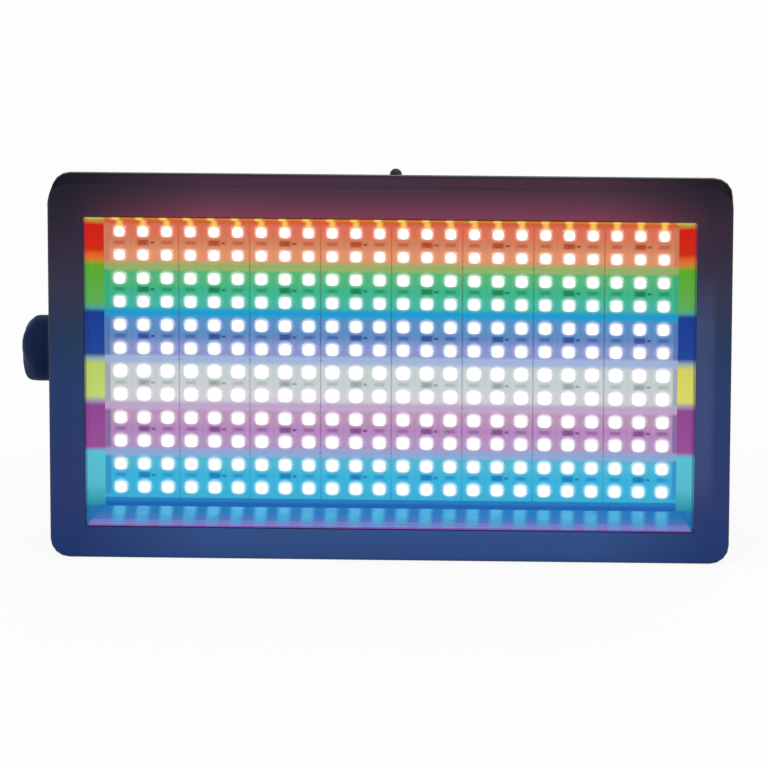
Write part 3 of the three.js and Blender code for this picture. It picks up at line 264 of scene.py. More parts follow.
class Shape:
    """Points and faces of one mesh in millimetres, each face with its material's number."""

    def __init__(self):
        self.points = []
        self.faces = []
        self.kinds = []

    def loft(self, rings, kind=0, closed=False):
        """Rings of as many points each, joined in turn; closed joins the last one to the first."""
        count = len(rings[0])
        base = len(self.points)
        for ring in rings:
            self.points.extend(ring)
        joints = len(rings) if closed else len(rings) - 1
        for ring in range(joints):
            following = (ring + 1) % len(rings)
            for point in range(count):
                beside = (point + 1) % count
                self.faces.append((base + ring * count + point, base + ring * count + beside,
                                   base + following * count + beside, base + following * count + point))
        if not closed:
            for ring in (0, len(rings) - 1):
                self.faces.append(tuple(base + ring * count + point for point in range(count)))
        self.kinds.extend([kind] * (len(self.faces) - len(self.kinds)))

    def along_y(self, rows, kind=0):
        """Rows of (outline, y)."""
        self.loft([[(x, y, z) for x, z in outline] for outline, y in rows], kind)

    def turned(self, centre, rows, sides=32, kind=0, axis="y"):
        """Rows of (place along the axis, radius) or (place, radius, flats); the axis runs through centre."""
        rings = []
        for place, radius, *flats in rows:
            outline = round_outline(radius, sides, *flats)
            if axis == "y":
                rings.append([(centre[0] + a, place, centre[1] + b) for a, b in outline])
            else:
                rings.append([(place, centre[0] + a, centre[1] + b) for a, b in outline])
        self.loft(rings, kind)

    def slab(self, x, z, half_x, half_z, front, back, corner, edge, kind=0, steps=3):
        """A rounded bar from front to back along Y, its front edge eased by edge."""
        small = max(corner - edge, edge)
        self.along_y([
            (rectangle(x, z, half_x - edge, half_z - edge, small, steps), front),
            (rectangle(x, z, half_x, half_z, corner, steps), front + edge),
            (rectangle(x, z, half_x, half_z, corner, steps), back),
        ], kind)

    def make(self, name, materials, nodes=(), body="housing", angle=38.0):
        """Makes the piece, which stands for CAD nodes and rides on a body; edges over angle stay sharp."""
        mesh = bpy.data.meshes.new(name)
        mesh.from_pydata([Vector(point) * MM for point in self.points], [], self.faces)
        for material in materials:
            mesh.materials.append(material)
        mesh.polygons.foreach_set("material_index", self.kinds)
        work = bmesh.new()
        work.from_mesh(mesh)
        bmesh.ops.recalc_face_normals(work, faces=work.faces)
        work.to_mesh(mesh)
        work.free()
        mesh.polygons.foreach_set("use_smooth", [True] * len(mesh.polygons))
        mesh.set_sharp_from_angle(angle=math.radians(angle))
        piece = add_object(name, mesh)
        if nodes:
            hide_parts(*nodes)
        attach(piece, body)


# Camera and its surroundings
def make_camera():
    flat = math.cos(ELEVATION)
    forward = Vector((math.sin(AZIMUTH) * flat, math.cos(AZIMUTH) * flat, -math.sin(ELEVATION)))
    level = Vector((math.cos(AZIMUTH), -math.sin(AZIMUTH), 0))
    upright = level.cross(forward)
    right = math.cos(ROLL) * level + math.sin(ROLL) * upright
    up = math.cos(ROLL) * upright - math.sin(ROLL) * level
    data = bpy.data.cameras.new("camera")
    data.sensor_width = SENSOR_WIDTH
    data.lens = SENSOR_WIDTH * PIXELS_PER_MM * DISTANCE / PICTURE_SIZE
    data.clip_end = 100
    camera = add_object("camera", data)
    place = (Vector(TARGET) - DISTANCE * forward) * MM
    turn = Matrix((right, up, -forward)).transposed()
    camera.matrix_world = Matrix.Translation(place) @ turn.to_4x4()
    bpy.context.scene.camera = camera


def seen_rays(tree):
    """1 for what the camera sees, straight or in metal or glass."""
    path = add_node(tree, "ShaderNodeLightPath").outputs
    seen = path["Is Camera Ray"]
    for kind in ("Is Glossy Ray", "Is Transmission Ray"):
        seen = add_node(tree, "ShaderNodeMath", {0: seen, 1: path[kind]}, operation="MAXIMUM").outputs[0]
    return seen


def shown_as(tree, share, first, second, end):
    """Mixes two shaders, second by share, into the tree's end node."""
    mixed = add_node(tree, "ShaderNodeMixShader", {0: share, 1: first.outputs[0], 2: second.outputs[0]})
    tree.links.new(mixed.outputs[0], tree.nodes[end].inputs[0])


def make_world(strength=0.62):
    """Even light from all sides, seen by the camera as plain white."""
    world = bpy.data.worlds.new("studio")
    bpy.context.scene.world = world
    world.use_nodes = True
    tree = world.node_tree
    light = tree.nodes["Background"]
    light.inputs[0].default_value = WHITE
    light.inputs[1].default_value = strength
    seen = add_node(tree, "ShaderNodeBackground", {0: WHITE, 1: 1.0})
    shown_as(tree, seen_rays(tree), light, seen, "World Output")


def make_floor(half=6.0, drop=0.2 * MM):
    """A pale floor just under the part, which keeps its shadow and looks white."""
    made = Shader("floor_white", 0.9, specular=0.1)
    made.paint((0.88, 0.88, 0.88, 1))
    white = made.node("Emission", {1: 1.0})
    shown_as(made.tree, made.times(seen_rays(made.tree), 0.9), made.bsdf, white, "Material Output")
    mesh = bpy.data.meshes.new("floor")
    corners = [(-half, -half, 0), (half, -half, 0), (half, half, 0), (-half, half, 0)]
    mesh.from_pydata(corners, [], [(0, 1, 2, 3)])
    mesh.materials.append(made.made)
    floor = add_object("floor", mesh)
    floor.location.z = -drop


def make_lamp(name, place, size, power, aim=(0, 0, 0.08)):
    data = bpy.data.lights.new(name, "AREA")
    data.size = size
    data.energy = power
    lamp = add_object(name, data)
    lamp.location = place
    lamp.rotation_euler = (Vector(aim) - Vector(place)).to_track_quat("-Z", "Y").to_euler()


make_camera()
make_world()
make_floor()
make_lamp("key_lamp", (-1.1, -1.3, 1.7), 1.2, 14.0)
make_lamp("fill_lamp", (1.5, -1.0, 1.0), 1.4, 8.0)
make_lamp("back_lamp", (0.4, 1.7, 1.5), 1.4, 11.0)
bpy.context.scene.view_settings.view_transform = "Standard"


# Places taken from the CAD model
strip_zs = [middle_of("led_strip_%d" % (band + 1)).z for band in range(6)]
strip_pitch = strip_zs[0] - strip_zs[1]
row_pitch = strip_pitch / 2
strip_low, strip_high = box_mm("led_strip_1")
strip_half = (strip_high.x - strip_low.x) / 2
strip_height = strip_high.z - strip_low.z
board_back = strip_high.y
board_front = board_back - BOARD_THICKNESS
field_top = strip_high.z
field_bottom = box_mm("led_strip_6")[0].z
shell_low, shell_high = box_mm("front_shell")
shell_half = (shell_high - shell_low) / 2
middle_z = middle_of("front_shell").z
window_low, window_high = box_mm("window")

# One row a band from the top: the colour of the band's light painted on its boards at the upper LEDs,
# between the rows and at the lower LEDs
BANDS = [
    ("red", rgb(222, 116, 88), rgb(212, 134, 96), rgb(226, 150, 110)),
    ("green", rgb(82, 184, 126), rgb(58, 180, 136), rgb(68, 182, 164)),
    ("blue", rgb(90, 144, 198), rgb(96, 136, 194), rgb(138, 152, 204)),
    ("white", rgb(198, 208, 210), rgb(200, 208, 210), rgb(209, 208, 216)),
    ("magenta", rgb(188, 150, 186), rgb(182, 134, 190), rgb(182, 150, 192)),
    ("cyan", rgb(80, 186, 212), rgb(54, 180, 222), rgb(60, 182, 218)),
]
# Colours of the painted light at the seams between the bands, and above the first band
SEAMS = [rgb(156, 180, 108), rgb(28, 158, 210), rgb(166, 184, 220), rgb(194, 170, 204),
         rgb(148, 170, 214)]
FIELD_TOP = rgb(214, 96, 62)
# How bright each band's halos round its LEDs are, as a share
HALOS = [0.1, 0.3, 0.42, 0.9, 0.55, 0.45]
# Half the width of each band's lenses
LENSES = [2.25, 2.34, 2.38, 2.46, 2.42, 2.36]
# How white each band's LED cases are
CASES = [0.25, 0.38, 0.42, 0.6, 0.5, 0.42]
# Beyond the last LEDs the boards are bare, and the light painted on them there is paler
BARE_END = 119.4
BARE_ENDS = [rgb(208, 128, 94), rgb(54, 178, 126), rgb(84, 120, 180), rgb(158, 164, 178),
             rgb(130, 104, 160), rgb(48, 148, 204)]
# A seam's colour fills this half height, and blends into the rows' colours up to its reach
SEAM_HALF = 1.1
SEAM_REACH = 2.6
# How far a row's own colour runs past its LEDs' middles, towards the other row
ROW_INSET = 0.8


def board_colour(made, z, band):
    """The painted light on one band's boards, running into its neighbours' at the seams."""
    middle = strip_zs[band]
    upper, between, lower = BANDS[band][1:]
    above = SEAMS[band - 1] if band else FIELD_TOP
    below = SEAMS[band] if band < len(SEAMS) else lower
    half = strip_pitch / 2
    row = row_pitch / 2 - ROW_INSET
    return made.ramp(z, [
        (middle - half, below), (middle - half + SEAM_HALF, below), (middle - half + SEAM_REACH, lower),
        (middle - row, lower), (middle, between), (middle + row, upper),
        (middle + half - SEAM_REACH, upper), (middle + half - SEAM_HALF, above), (middle + half, above)])


def from_leds(made, x, z):
    """How far a point is from the middle of the nearest LED: along X, and in all."""
    across = made.from_middle(x, LED_PITCH)
    up = made.from_middle(made.math("SUBTRACT", z, middle_z), row_pitch)
    return across, made.length(across, up)


def top_light_spots(made, across, z):
    """1 where pale yellow light is painted above each LED of the top row."""
    above = made.over(z, strip_zs[0] + row_pitch / 2 + 1.5)
    return made.times(made.within(across, 0.2, 2.0), above)


def deepened(made, colour, share):
    """A darker and fuller shade of colour."""
    return made.mix(share, colour, made.mix(1.0, colour, colour, "MULTIPLY"))


def board_material(band):
    """Printed board that takes its band's light, painted in as colour and glow: copper tracks, dark lands
    between the rows, painted halos of light round the LEDs.
    """
    made = Shader("board_" + BANDS[band][0], specular=0.08)
    x, y, z = made.parts(made.mm)
    colour = board_colour(made, z, band)
    across, reach = from_leds(made, x, z)
    away = made.math("ABSOLUTE", x)
    halo = made.times(made.span(reach, 2.5, 3.8, HALOS[band], 0.0), made.over(FIELD_HALF, away))
    along = made.from_middle(x, MODULE)
    height = made.gap(z, strip_zs[band])
    land = made.times(made.within(across, 1.6, 1.1), made.within(height, 0.5, 0.5), 0.55)
    patch = made.times(made.within(along, 1.9, 1.0), made.within(height, 0.8, 0.8), 0.8)
    track = made.times(made.band(across, 3.6, 4.0, 0.25), made.within(height, 6.4, 0.4))
    seam = strip_pitch / 2
    end = made.times(made.span(away, BARE_END - 0.6, BARE_END + 0.2), 0.85,
                     made.span(height, seam - 2.4, seam - 1.2, 1.0, 0.0))
    cloudy = made.mix(made.span(made.noise(5.0, 4.0, 0.6), 0.35, 0.65, 0.0, 0.3), colour,
                      (0.45, 0.45, 0.45, 1), "OVERLAY")
    shaded = deepened(made, cloudy, made.math("MAXIMUM", land, patch))
    shaded = made.mix(end, shaded, BARE_ENDS[band])
    lined = made.mix(made.times(track, 0.2), shaded, (0.9, 0.82, 0.7, 1), "SOFT_LIGHT")
    # Painted yellow light above the top row's LEDs
    if band == 0:
        lined = made.mix(top_light_spots(made, across, z), lined, rgb(252, 204, 96))
    lit = made.mix(halo, lined, WHITE)
    made.paint(made.mix(0.7, lit, BLACK))
    # The board glows with its band's painted light
    made.glow(lit, 0.83)
    made.uneven(made.noise(1.2), 0.4, 0.6)
    made.bump(made.math("ADD", made.noise(0.6, 2.0), made.times(track, 0.8)), 0.03)
    return made.made


def part_material(band):
    """A small part on the board, dark in its band's colour, with the band's light painted on it as colour
    and glow.
    """
    made = Shader("resistor_" + BANDS[band][0], 0.45, specular=0.1)
    x, y, z = made.parts(made.mm)
    deep = deepened(made, board_colour(made, z, band), 0.8)
    spotted = made.mix(made.span(made.noise(0.7), 0.4, 0.6, 0.0, 0.25), deep, (0.02, 0.02, 0.025, 1))
    made.paint(made.mix(0.5, spotted, BLACK))
    made.glow(spotted, 0.6)
    made.bump(made.noise(0.4), 0.02)
    return made.made


def case_material(band):
    """An LED's white case, lit from inside and tinted by its band."""
    made = Shader("led_case_" + BANDS[band][0], 0.4, specular=0.1)
    x, y, z = made.parts(made.mm)
    share = made.span(made.noise(1.5), 0.3, 0.7, CASES[band] - 0.06, CASES[band] + 0.06)
    tint = made.mix(share, board_colour(made, z, band), WHITE)
    # Painted yellow light above the top row's LEDs
    if band == 0:
        across, reach = from_leds(made, x, z)
        tint = made.mix(top_light_spots(made, across, z), tint, rgb(252, 210, 104))
    made.paint(made.mix(0.4, tint, BLACK))
    made.glow(tint, 0.82)
    made.bump(made.noise(0.5), 0.01)
    return made.made


def led_material():
    """An LED's lens: white light, a little warmer or cooler towards the rim."""
    made = Shader("led_lens", 0.25, specular=0.4)
    x, y, z = made.parts(made.mm)
    across, reach = from_leds(made, x, z)
    warm = made.ramp(z, [
        (field_bottom, rgb(255, 252, 240)), (middle_z - 30, rgb(252, 255, 246)), (middle_z, WHITE),
        (middle_z + 20, rgb(252, 240, 255)), (middle_z + 40, rgb(255, 242, 255)),
        (field_top, rgb(255, 253, 226))])
    rim = made.ramp(z, [
        (field_bottom, rgb(200, 238, 252)), (middle_z - 35, rgb(240, 214, 246)),
        (middle_z - 5, rgb(240, 242, 248)), (middle_z + 15, rgb(214, 226, 250)),
        (middle_z + 35, rgb(204, 244, 230)), (field_top, rgb(255, 214, 170))])
    light = made.mix(made.span(reach, 1.9, 2.9), warm, rim)
    made.paint(light)
    made.glow(light, 1.05)
    made.bump(made.noise(0.8), 0.02)
    return made.made


# An LED's case: half its width, its corners' radius and its depth
CASE_HALF = 2.55
CASE_CORNER = 0.8
CASE_DEPTH = 1.32


def make_led(shape, x, z, half, root):
    """A case, a lens with half its width given, and three leads on each side."""
    shape.along_y([
        (rectangle(x, z, CASE_HALF, CASE_HALF, CASE_CORNER), root),
        (rectangle(x, z, CASE_HALF, CASE_HALF, CASE_CORNER), board_front - CASE_DEPTH + 0.12),
        (rectangle(x, z, CASE_HALF - 0.07, CASE_HALF - 0.07, CASE_CORNER), board_front - CASE_DEPTH)], 3)
    shape.along_y([
        (rectangle(x, z, half, half, 0.86 * half, 6), board_front - 1.25),
        (rectangle(x, z, half, half, 0.86 * half, 6), board_front - 1.4),
        (rectangle(x, z, half - 0.25, half - 0.25, 0.8 * half, 6), board_front - 1.53),
        (rectangle(x, z, half - 0.9, half - 0.9, 0.6 * half, 6), board_front - BOARD_THICKNESS)], 1)
    for side in (-1, 1):
        for step in (-1, 0, 1):
            shape.slab(x + side * (CASE_HALF + 0.1), z + step * 1.5, 0.3, 0.45, board_front - 0.14, root,
                       0.12, 0.05, 3, 2)


def make_strips():
    """One piece a band: eight boards side by side with their resistors, and two rows of LEDs."""
    lens = led_material()
    modules = int(2 * FIELD_HALF / MODULE)
    gap = 0.4
    root = board_front + ROOT_DEPTH
    for band in range(6):
        middle = strip_zs[band]
        shape = Shape()
        for part in range(modules):
            centre = (part + 0.5 - modules / 2) * MODULE
            left = -strip_half if part == 0 else centre - (MODULE - gap) / 2
            right = strip_half if part == modules - 1 else centre + (MODULE - gap) / 2
            shape.slab((left + right) / 2, middle, (right - left) / 2, strip_height / 2, board_front,
                       board_back, 0.5, 0.15)
            shape.slab(centre, middle, 1.2, 0.8, board_front - 0.6, root, 0.15, 0.1, 2, 2)
            for side in (-1, 1):
                shape.slab(centre + side * 1.55, middle, 0.4, 0.8, board_front - 0.52, root, 0.15, 0.1, 0, 2)
            shape.slab(centre + 3.9, middle, 0.8, 0.45, board_front - 0.5, root, 0.12, 0.08, 2, 2)
        for row in (-1, 1):
            for column in range(COLUMNS):
                x = (column - (COLUMNS - 1) / 2) * LED_PITCH
                make_led(shape, x, middle + row * row_pitch / 2, LENSES[band], root)
        shape.make("led_boards_%d" % (band + 1),
                   [board_material(band), lens, part_material(band), case_material(band)],
                   ["led_strip_%d" % (band + 1)])


make_strips()


# Finishes of the CAD nodes that stay

# How far in from the front's edges the painted light on it begins to give way to painted shade at the
# corners
CORNER_REACH = 15.0


def front_material():
    """Black plastic; the front takes a tint of the light: plum above, navy below, dark at the corners."""
    made = Shader("front_plastic", specular=0.06)
    x, y, z = made.parts(made.mm)
    nx, ny, nz = made.parts(made.normal)
    glow = made.ramp(z, [
        (0.0, rgb(56, 88, 146)), (31.0, rgb(52, 79, 132)), (53.0, rgb(66, 75, 129)),
        (75.0, rgb(62, 74, 118)), (97.0, rgb(50, 73, 106)), (118.0, rgb(60, 66, 84)),
        (134.0, rgb(76, 54, 76)), (149.0, rgb(128, 62, 86)), (160.0, rgb(86, 57, 76))])
    dark = made.ramp(z, [
        (0.0, rgb(32, 56, 112)), (31.0, rgb(45, 58, 110)), (75.0, rgb(39, 61, 108)),
        (97.0, rgb(37, 58, 90)), (118.0, rgb(54, 53, 75)), (140.0, rgb(48, 40, 58)),
        (160.0, rgb(32, 30, 41))])
    # Painted shade: the painted light fades to the dark tint towards the corners and both ends
    reach = made.length(made.past(made.math("ABSOLUTE", x), shell_half.x - CORNER_REACH),
                        made.past(made.gap(z, middle_z), shell_half.z - CORNER_REACH))
    lit = made.times(made.span(reach, 0.0, 17.0, 1.0, 0.6), made.span(x, -134.0, -76.0),
                     made.span(x, 88.0, 134.0, 1.0, 0.1))
    front = made.mix(lit, dark, glow)
    # A painted streak of brighter light near the right end
    right = made.times(made.band(x, 129.0, 134.0, 4.0), made.span(z, 128.0, 104.0, 0.0, 0.45),
                       made.span(z, 22.0, 40.0))
    front = made.mix(right, front, rgb(78, 88, 134))
    black = made.mix(made.noise(14.0, 2.0), rgb(24, 24, 28), rgb(34, 34, 38))
    facing = made.span(ny, -0.3, -0.85)
    # The top face takes the painted light too, less of it towards the back
    upward = made.times(made.span(nz, 0.5, 0.95), made.span(y, 4.0, 11.0, 1.0, 0.45))
    made.paint(made.mix(made.math("MAXIMUM", facing, upward), black, front))
    made.put("Specular IOR Level", made.span(facing, 0.0, 1.0, made.span(nz, 0.05, 0.4, 0.25, 0.0), 0.06))
    made.uneven(made.noise(3.0, 4.0), 0.42, 0.54)
    made.bump(made.noise(0.4, 2.0), 0.02)
    return made.made


# Colours of the bands' reflections painted on the reflector's side walls, from the bottom band up: low and
# high in each band
WALLS = [
    (rgb(94, 198, 214), rgb(94, 204, 224)),
    (rgb(164, 82, 156), rgb(150, 74, 152)),
    (rgb(204, 222, 120), rgb(198, 218, 104)),
    (rgb(34, 72, 160), rgb(24, 62, 156)),
    (rgb(100, 182, 84), rgb(94, 180, 40)),
    (rgb(218, 44, 14), rgb(222, 26, 20)),
]
WALL_FOOT = rgb(38, 122, 182)
# Just above the green band and below the lip the painted red reflection turns orange
RED_WALL_ENDS = (rgb(212, 138, 50), rgb(238, 104, 44), rgb(220, 140, 50))
RIGHT_WHITE_WALL = (rgb(232, 228, 108), rgb(226, 220, 98))
# In the painted reflection the white band's ends and the green band's foot are paler than the bands
# themselves
PALE_ENDS = (rgb(176, 160, 186), rgb(158, 186, 178))
GREEN_FOOT = rgb(86, 176, 150)
# The opening is this much larger all round than the window
WINDOW_INSET = 1.5
OPENING_HALF = (window_high.x + WINDOW_INSET, (window_high.z - window_low.z) / 2 + WINDOW_INSET)
# A wall's bands run forward and down, and meet a little above the strips' seams
WALL_SLANT = math.tan(math.radians(14.35))
WALL_RISE = 4.4


def wall_bands(made, height, walls):
    """A side wall's painted reflection over its slanted height: each band's own colours and what runs
    between them.
    """
    stops = []
    for place, (low_colour, high_colour) in enumerate(walls):
        middle = strip_zs[5 - place] + WALL_RISE
        low = middle - strip_pitch / 2 + SEAM_HALF
        high = middle + strip_pitch / 2 - SEAM_HALF
        if place == 0:
            low = middle - 5
            stops += [(field_bottom - 4, WALL_FOOT), (field_bottom - 0.5, WALL_FOOT),
                      (field_bottom + 0.9, rgb(45, 160, 182))]
        if place == 2:
            stops += [(low, PALE_ENDS[0]), (low + 1.8, low_colour), (high - 2.4, high_colour),
                      (high, PALE_ENDS[1])]
            continue
        if place == 4:
            stops += [(low - 0.2, GREEN_FOOT)]
            low += 2.4
        if place == 5:
            stops += [(low, RED_WALL_ENDS[0]), (low + 2.4, RED_WALL_ENDS[1])]
            low += 4.6
            high = field_top + 0.7
        stops += [(low, low_colour), (high, high_colour)]
    return made.ramp(height, stops + [(field_top + 1.9, RED_WALL_ENDS[2])])


def reflector_material():
    """Silvered plastic; inside, the bands' reflections are painted in as colour and glow: in stripes on the
    side walls, in streaks above and below.
    """
    made = Shader("silvered", specular=0.0)
    x, y, z = made.parts(made.mm)
    nx, ny, nz = made.parts(made.normal)
    height = made.math("ADD", z, made.times(y, WALL_SLANT))
    right = WALLS[:2] + [RIGHT_WHITE_WALL] + WALLS[3:]
    sides = made.mix(made.over(x, 0.0), wall_bands(made, height, WALLS),
                     wall_bands(made, height, right))
    across, reach = from_leds(made, x, z)
    away = made.math("ABSOLUTE", x)
    over_leds = made.over(FIELD_HALF, away)
    streak = made.times(made.within(across, 1.2, 2.6), over_leds,
                        made.span(made.noise(9.0), 0.3, 0.6, 0.6, 1.0))
    forward = made.span(y, 0.0, -8.0)
    below = made.mix(streak, made.mix(forward, rgb(42, 128, 198), rgb(98, 116, 194)),
                     made.mix(forward, rgb(92, 190, 232), rgb(60, 174, 216)))
    below = made.mix(made.span(y, -6.4, -7.8, 0.0, 0.6), below, rgb(132, 150, 216))
    spot = made.times(made.within(across, 0.7, 1.7), over_leds, 0.95)
    above = made.mix(spot, rgb(222, 122, 42), rgb(254, 212, 96))
    above = made.mix(over_leds, rgb(182, 182, 92), above)
    walls = made.mix(made.span(nz, 0.4, 0.6), sides, below)
    walls = made.mix(made.span(nz, -0.4, -0.6), walls, above)
    # The lip is mitred: its top, bottom and sides meet on the corners' diagonals
    aside = made.math("SUBTRACT", away, OPENING_HALF[0])
    upper = made.math("SUBTRACT", z, middle_z + OPENING_HALF[1])
    lower = made.math("SUBTRACT", middle_z - OPENING_HALF[1], z)
    at_top = made.over(upper, aside)
    at_bottom = made.over(lower, aside)
    ledge = made.mix(at_bottom, made.mix(at_top, sides, above), below)
    # On the lip's sides the painted reflection is darkened halfway to dark blue, as painted shade
    lip_side = made.mix(0.5, sides, rgb(40, 50, 92))
    lip_below = made.mix(streak, rgb(146, 84, 172), rgb(118, 106, 192))
    lip = made.mix(at_bottom, made.mix(at_top, lip_side, above), lip_below)
    # Painted shade along the lip's outer edge, in the gap against the bezel
    outer = made.math("MAXIMUM", made.math("MAXIMUM", aside, upper), lower)
    lip = made.mix(made.span(outer, -0.6, -0.38), lip, rgb(58, 44, 74))
    facing = made.span(ny, -0.9, -0.98)
    walls = made.mix(facing, walls, made.mix(made.over(-9.0, y), ledge, lip))
    # The outer faces point away from the middle, and stay plain
    outer_side = made.over(made.times(nx, x), 20.0)
    outer_edge = made.over(made.times(nz, made.math("SUBTRACT", z, middle_z)), 20.0)
    inner = made.math("SUBTRACT", 1.0, made.math("MAXIMUM", outer_side, outer_edge))
    inside = made.times(made.over(board_front, y), inner)
    silver = made.mix(made.noise(5.0), rgb(196, 198, 204), rgb(214, 216, 220))
    drawn = made.noise(1.5, vector=made.join(x, made.times(y, 0.15), z))
    faint = made.mix(made.span(drawn, 0.3, 0.7, 0.0, 0.25), walls, (0.5, 0.5, 0.5, 1), "OVERLAY")
    made.paint(made.mix(inside, silver, made.mix(0.6, faint, BLACK)))
    made.glow(faint, made.times(inside, 0.66))
    made.put("Metallic", made.math("SUBTRACT", 1.0, inside))
    made.uneven(made.noise(2.0), 0.24, 0.38)
    made.bump(made.noise(1.5, 2.0), 0.01)
    return made.made


def plate_material():
    """Aluminium sheet; round the strips it takes the light of the nearest band, painted in as colour and
    glow, with painted shade just below the lowest strip.
    """
    made = Shader("plate_aluminium", metallic=0.9, specular=0.3)
    x, y, z = made.parts(made.mm)
    nx, ny, nz = made.parts(made.normal)
    drawn = made.noise(0.5, vector=made.join(made.times(x, 0.1), y, z))
    light = made.ramp(z, [
        (field_bottom - 3, rgb(28, 112, 194)), (field_bottom - 2.4, rgb(30, 116, 200)),
        (field_bottom - 2.0, rgb(34, 140, 206)), (strip_zs[5], BANDS[5][3]),
        (strip_zs[4], rgb(150, 90, 170)), (strip_zs[3], rgb(170, 170, 180)),
        (strip_zs[2], rgb(60, 90, 170)), (strip_zs[1], rgb(60, 140, 100)),
        (strip_zs[0], rgb(214, 90, 50)), (field_top + 4, rgb(216, 96, 48))])
    front = made.over(-0.5, ny)
    silver = made.mix(made.noise(6.0), rgb(188, 190, 194), rgb(170, 172, 178))
    made.paint(made.mix(made.times(front, 0.9), silver, made.mix(0.5, light, BLACK)))
    made.glow(light, made.times(front, 0.6))
    made.uneven(drawn, 0.26, 0.44)
    made.bump(drawn, 0.006)
    return made.made


def clear_plastic(name, colour, second, alpha, specular, cloud, spot, rough):
    """See-through plastic. cloud and spot are how wide its differences of colour and of gloss are."""
    made = Shader(name, specular=specular)
    made.paint(made.mix(made.noise(cloud), colour, second))
    made.uneven(made.noise(spot), *rough)
    made.put("Alpha", alpha)
    made.made.surface_render_method = "BLENDED"
    return made.made


def circuit_material(name, colour, second):
    """Solder mask with faint copper tracks."""
    made = Shader(name, 0.4, specular=0.5)
    x, y, z = made.parts(made.mm)
    tracks = made.node("TexBrick", {
        "Vector": made.join(x, z, 0.0), "Color1": colour, "Color2": second, "Mortar": rgb(58, 132, 84),
        "Scale": 1.0, "Mortar Size": 0.12, "Brick Width": 4.2, "Row Height": 1.9}).outputs[0]
    made.paint(made.mix(made.noise(3.0), tracks, colour))
    made.bump(made.noise(0.5), 0.02)
    return made.made


def painted_metal(name, colour, second, specular=0.3):
    """Powder coat: pebbled, with a few rubbed spots where the metal shines through."""
    made = Shader(name, specular=specular)
    rubbed = made.span(made.noise(9.0, 6.0, 0.65), 0.68, 0.74)
    scratched = made.times(rubbed, made.span(made.noise(0.8), 0.5, 0.6))
    paint = made.mix(made.noise(8.0), colour, second)
    made.paint(made.mix(scratched, paint, rgb(120, 120, 124)))
    made.put("Metallic", scratched)
    made.uneven(made.noise(1.5), 0.42, 0.62)
    made.bump(made.noise(0.7, 2.0), 0.035)
    return made.made


MATERIALS = {
    "front": front_material(),
    "rear": plastic("rear_plastic", rgb(24, 24, 28), rgb(34, 34, 38), 0.5, 0.5, 0.04, 0.25),
    "silver": reflector_material(),
    "window": clear_plastic("clear_window", rgb(30, 34, 38), rgb(40, 44, 48), alpha=0.05, specular=0.5,
                            cloud=20.0, spot=8.0, rough=(0.03, 0.09)),
    "lens": clear_plastic("smoked_lens", rgb(44, 8, 12), rgb(56, 12, 16), alpha=0.25, specular=0.12,
                          cloud=10.0, spot=6.0, rough=(0.22, 0.3)),
    "plate": plate_material(),
    "bright": metal("bright_steel", rgb(196, 198, 202), rgb(170, 172, 178), 0.24),
    "black_screw": metal("blackened_steel", rgb(70, 70, 74), rgb(50, 50, 54)),
    "eye": painted_metal("eye_enamel", rgb(16, 16, 19), rgb(24, 24, 27), 0.06),
    "bracket": painted_metal("powder_coat", rgb(26, 26, 29), rgb(36, 36, 39)),
    "knob": plastic("knob_plastic", rgb(20, 36, 66), rgb(28, 46, 82), 0.5, 0.6, 0.03, 0.02),
    "rubber": plastic("washer_rubber", rgb(20, 20, 21), rgb(28, 28, 29), 0.85, 0.3, 0.03, 0.2),
    "brass": metal("insert_brass", rgb(196, 158, 88), rgb(170, 132, 66)),
    "display": plastic("display_plastic", rgb(22, 20, 22), rgb(34, 32, 34), 0.6, 3.0, 0.002, 0.1),
    "circuit": circuit_material("circuit_green", rgb(20, 84, 50), rgb(26, 98, 58)),
    "supply": circuit_material("supply_green", rgb(30, 92, 44), rgb(38, 106, 52)),
    "socket": plastic("socket_plastic", rgb(20, 20, 22), rgb(32, 32, 35), 0.4, 0.5, 0.02, 0.35),
    "socket_metal": metal("socket_nickel", rgb(182, 184, 188), rgb(160, 162, 168), 0.32, 1.2, 0.002),
    "gold": metal("pin_gold", rgb(226, 188, 104), rgb(206, 164, 80), 0.2),
    "fan": plastic("fan_plastic", rgb(22, 22, 24), rgb(32, 32, 35), 0.42, 0.8, 0.02, 0.35),
    "black_lead": plastic("black_sheath", rgb(22, 22, 24), rgb(34, 34, 36)),
    "red_lead": plastic("red_sheath", rgb(150, 34, 28), rgb(126, 26, 22)),
    "button": plastic("button_rubber", rgb(38, 38, 42), rgb(50, 50, 54), 0.6, 0.4, 0.02, 0.3),
    "mark": plastic("white_print", rgb(214, 216, 220), rgb(196, 198, 204), 0.6, 0.4, 0.01, 0.3),
}


def smooth_group(angle):
    """Geometry nodes that shade smooth across edges flatter than angle degrees."""
    group = bpy.data.node_groups.new("smooth_%d" % angle, "GeometryNodeTree")
    for way in ("INPUT", "OUTPUT"):
        group.interface.new_socket("Geometry", in_out=way, socket_type="NodeSocketGeometry")
    start = add_node(group, "NodeGroupInput")
    edges = add_node(group, "GeometryNodeInputMeshEdgeAngle")
    angles = {0: edges.outputs["Unsigned Angle"], 1: math.radians(angle)}
    flat = add_node(group, "FunctionNodeCompare", angles, data_type="FLOAT", operation="LESS_THAN")
    faces = add_node(group, "GeometryNodeSetShadeSmooth", {"Geometry": start.outputs[0]}, domain="FACE")
    seams = add_node(group, "GeometryNodeSetShadeSmooth",
                     {"Geometry": faces.outputs[0], "Shade Smooth": flat.outputs[0]}, domain="EDGE")
    add_node(group, "NodeGroupOutput", {0: seams.outputs[0]})
    return group


SMOOTH = smooth_group(40)


# Corners this close are one, and faces this flat are one face
JOIN_WITHIN = 0.002
FLAT_WITHIN = 0.6
# Only edges sharper than this many degrees are eased
EASED_FROM = 42


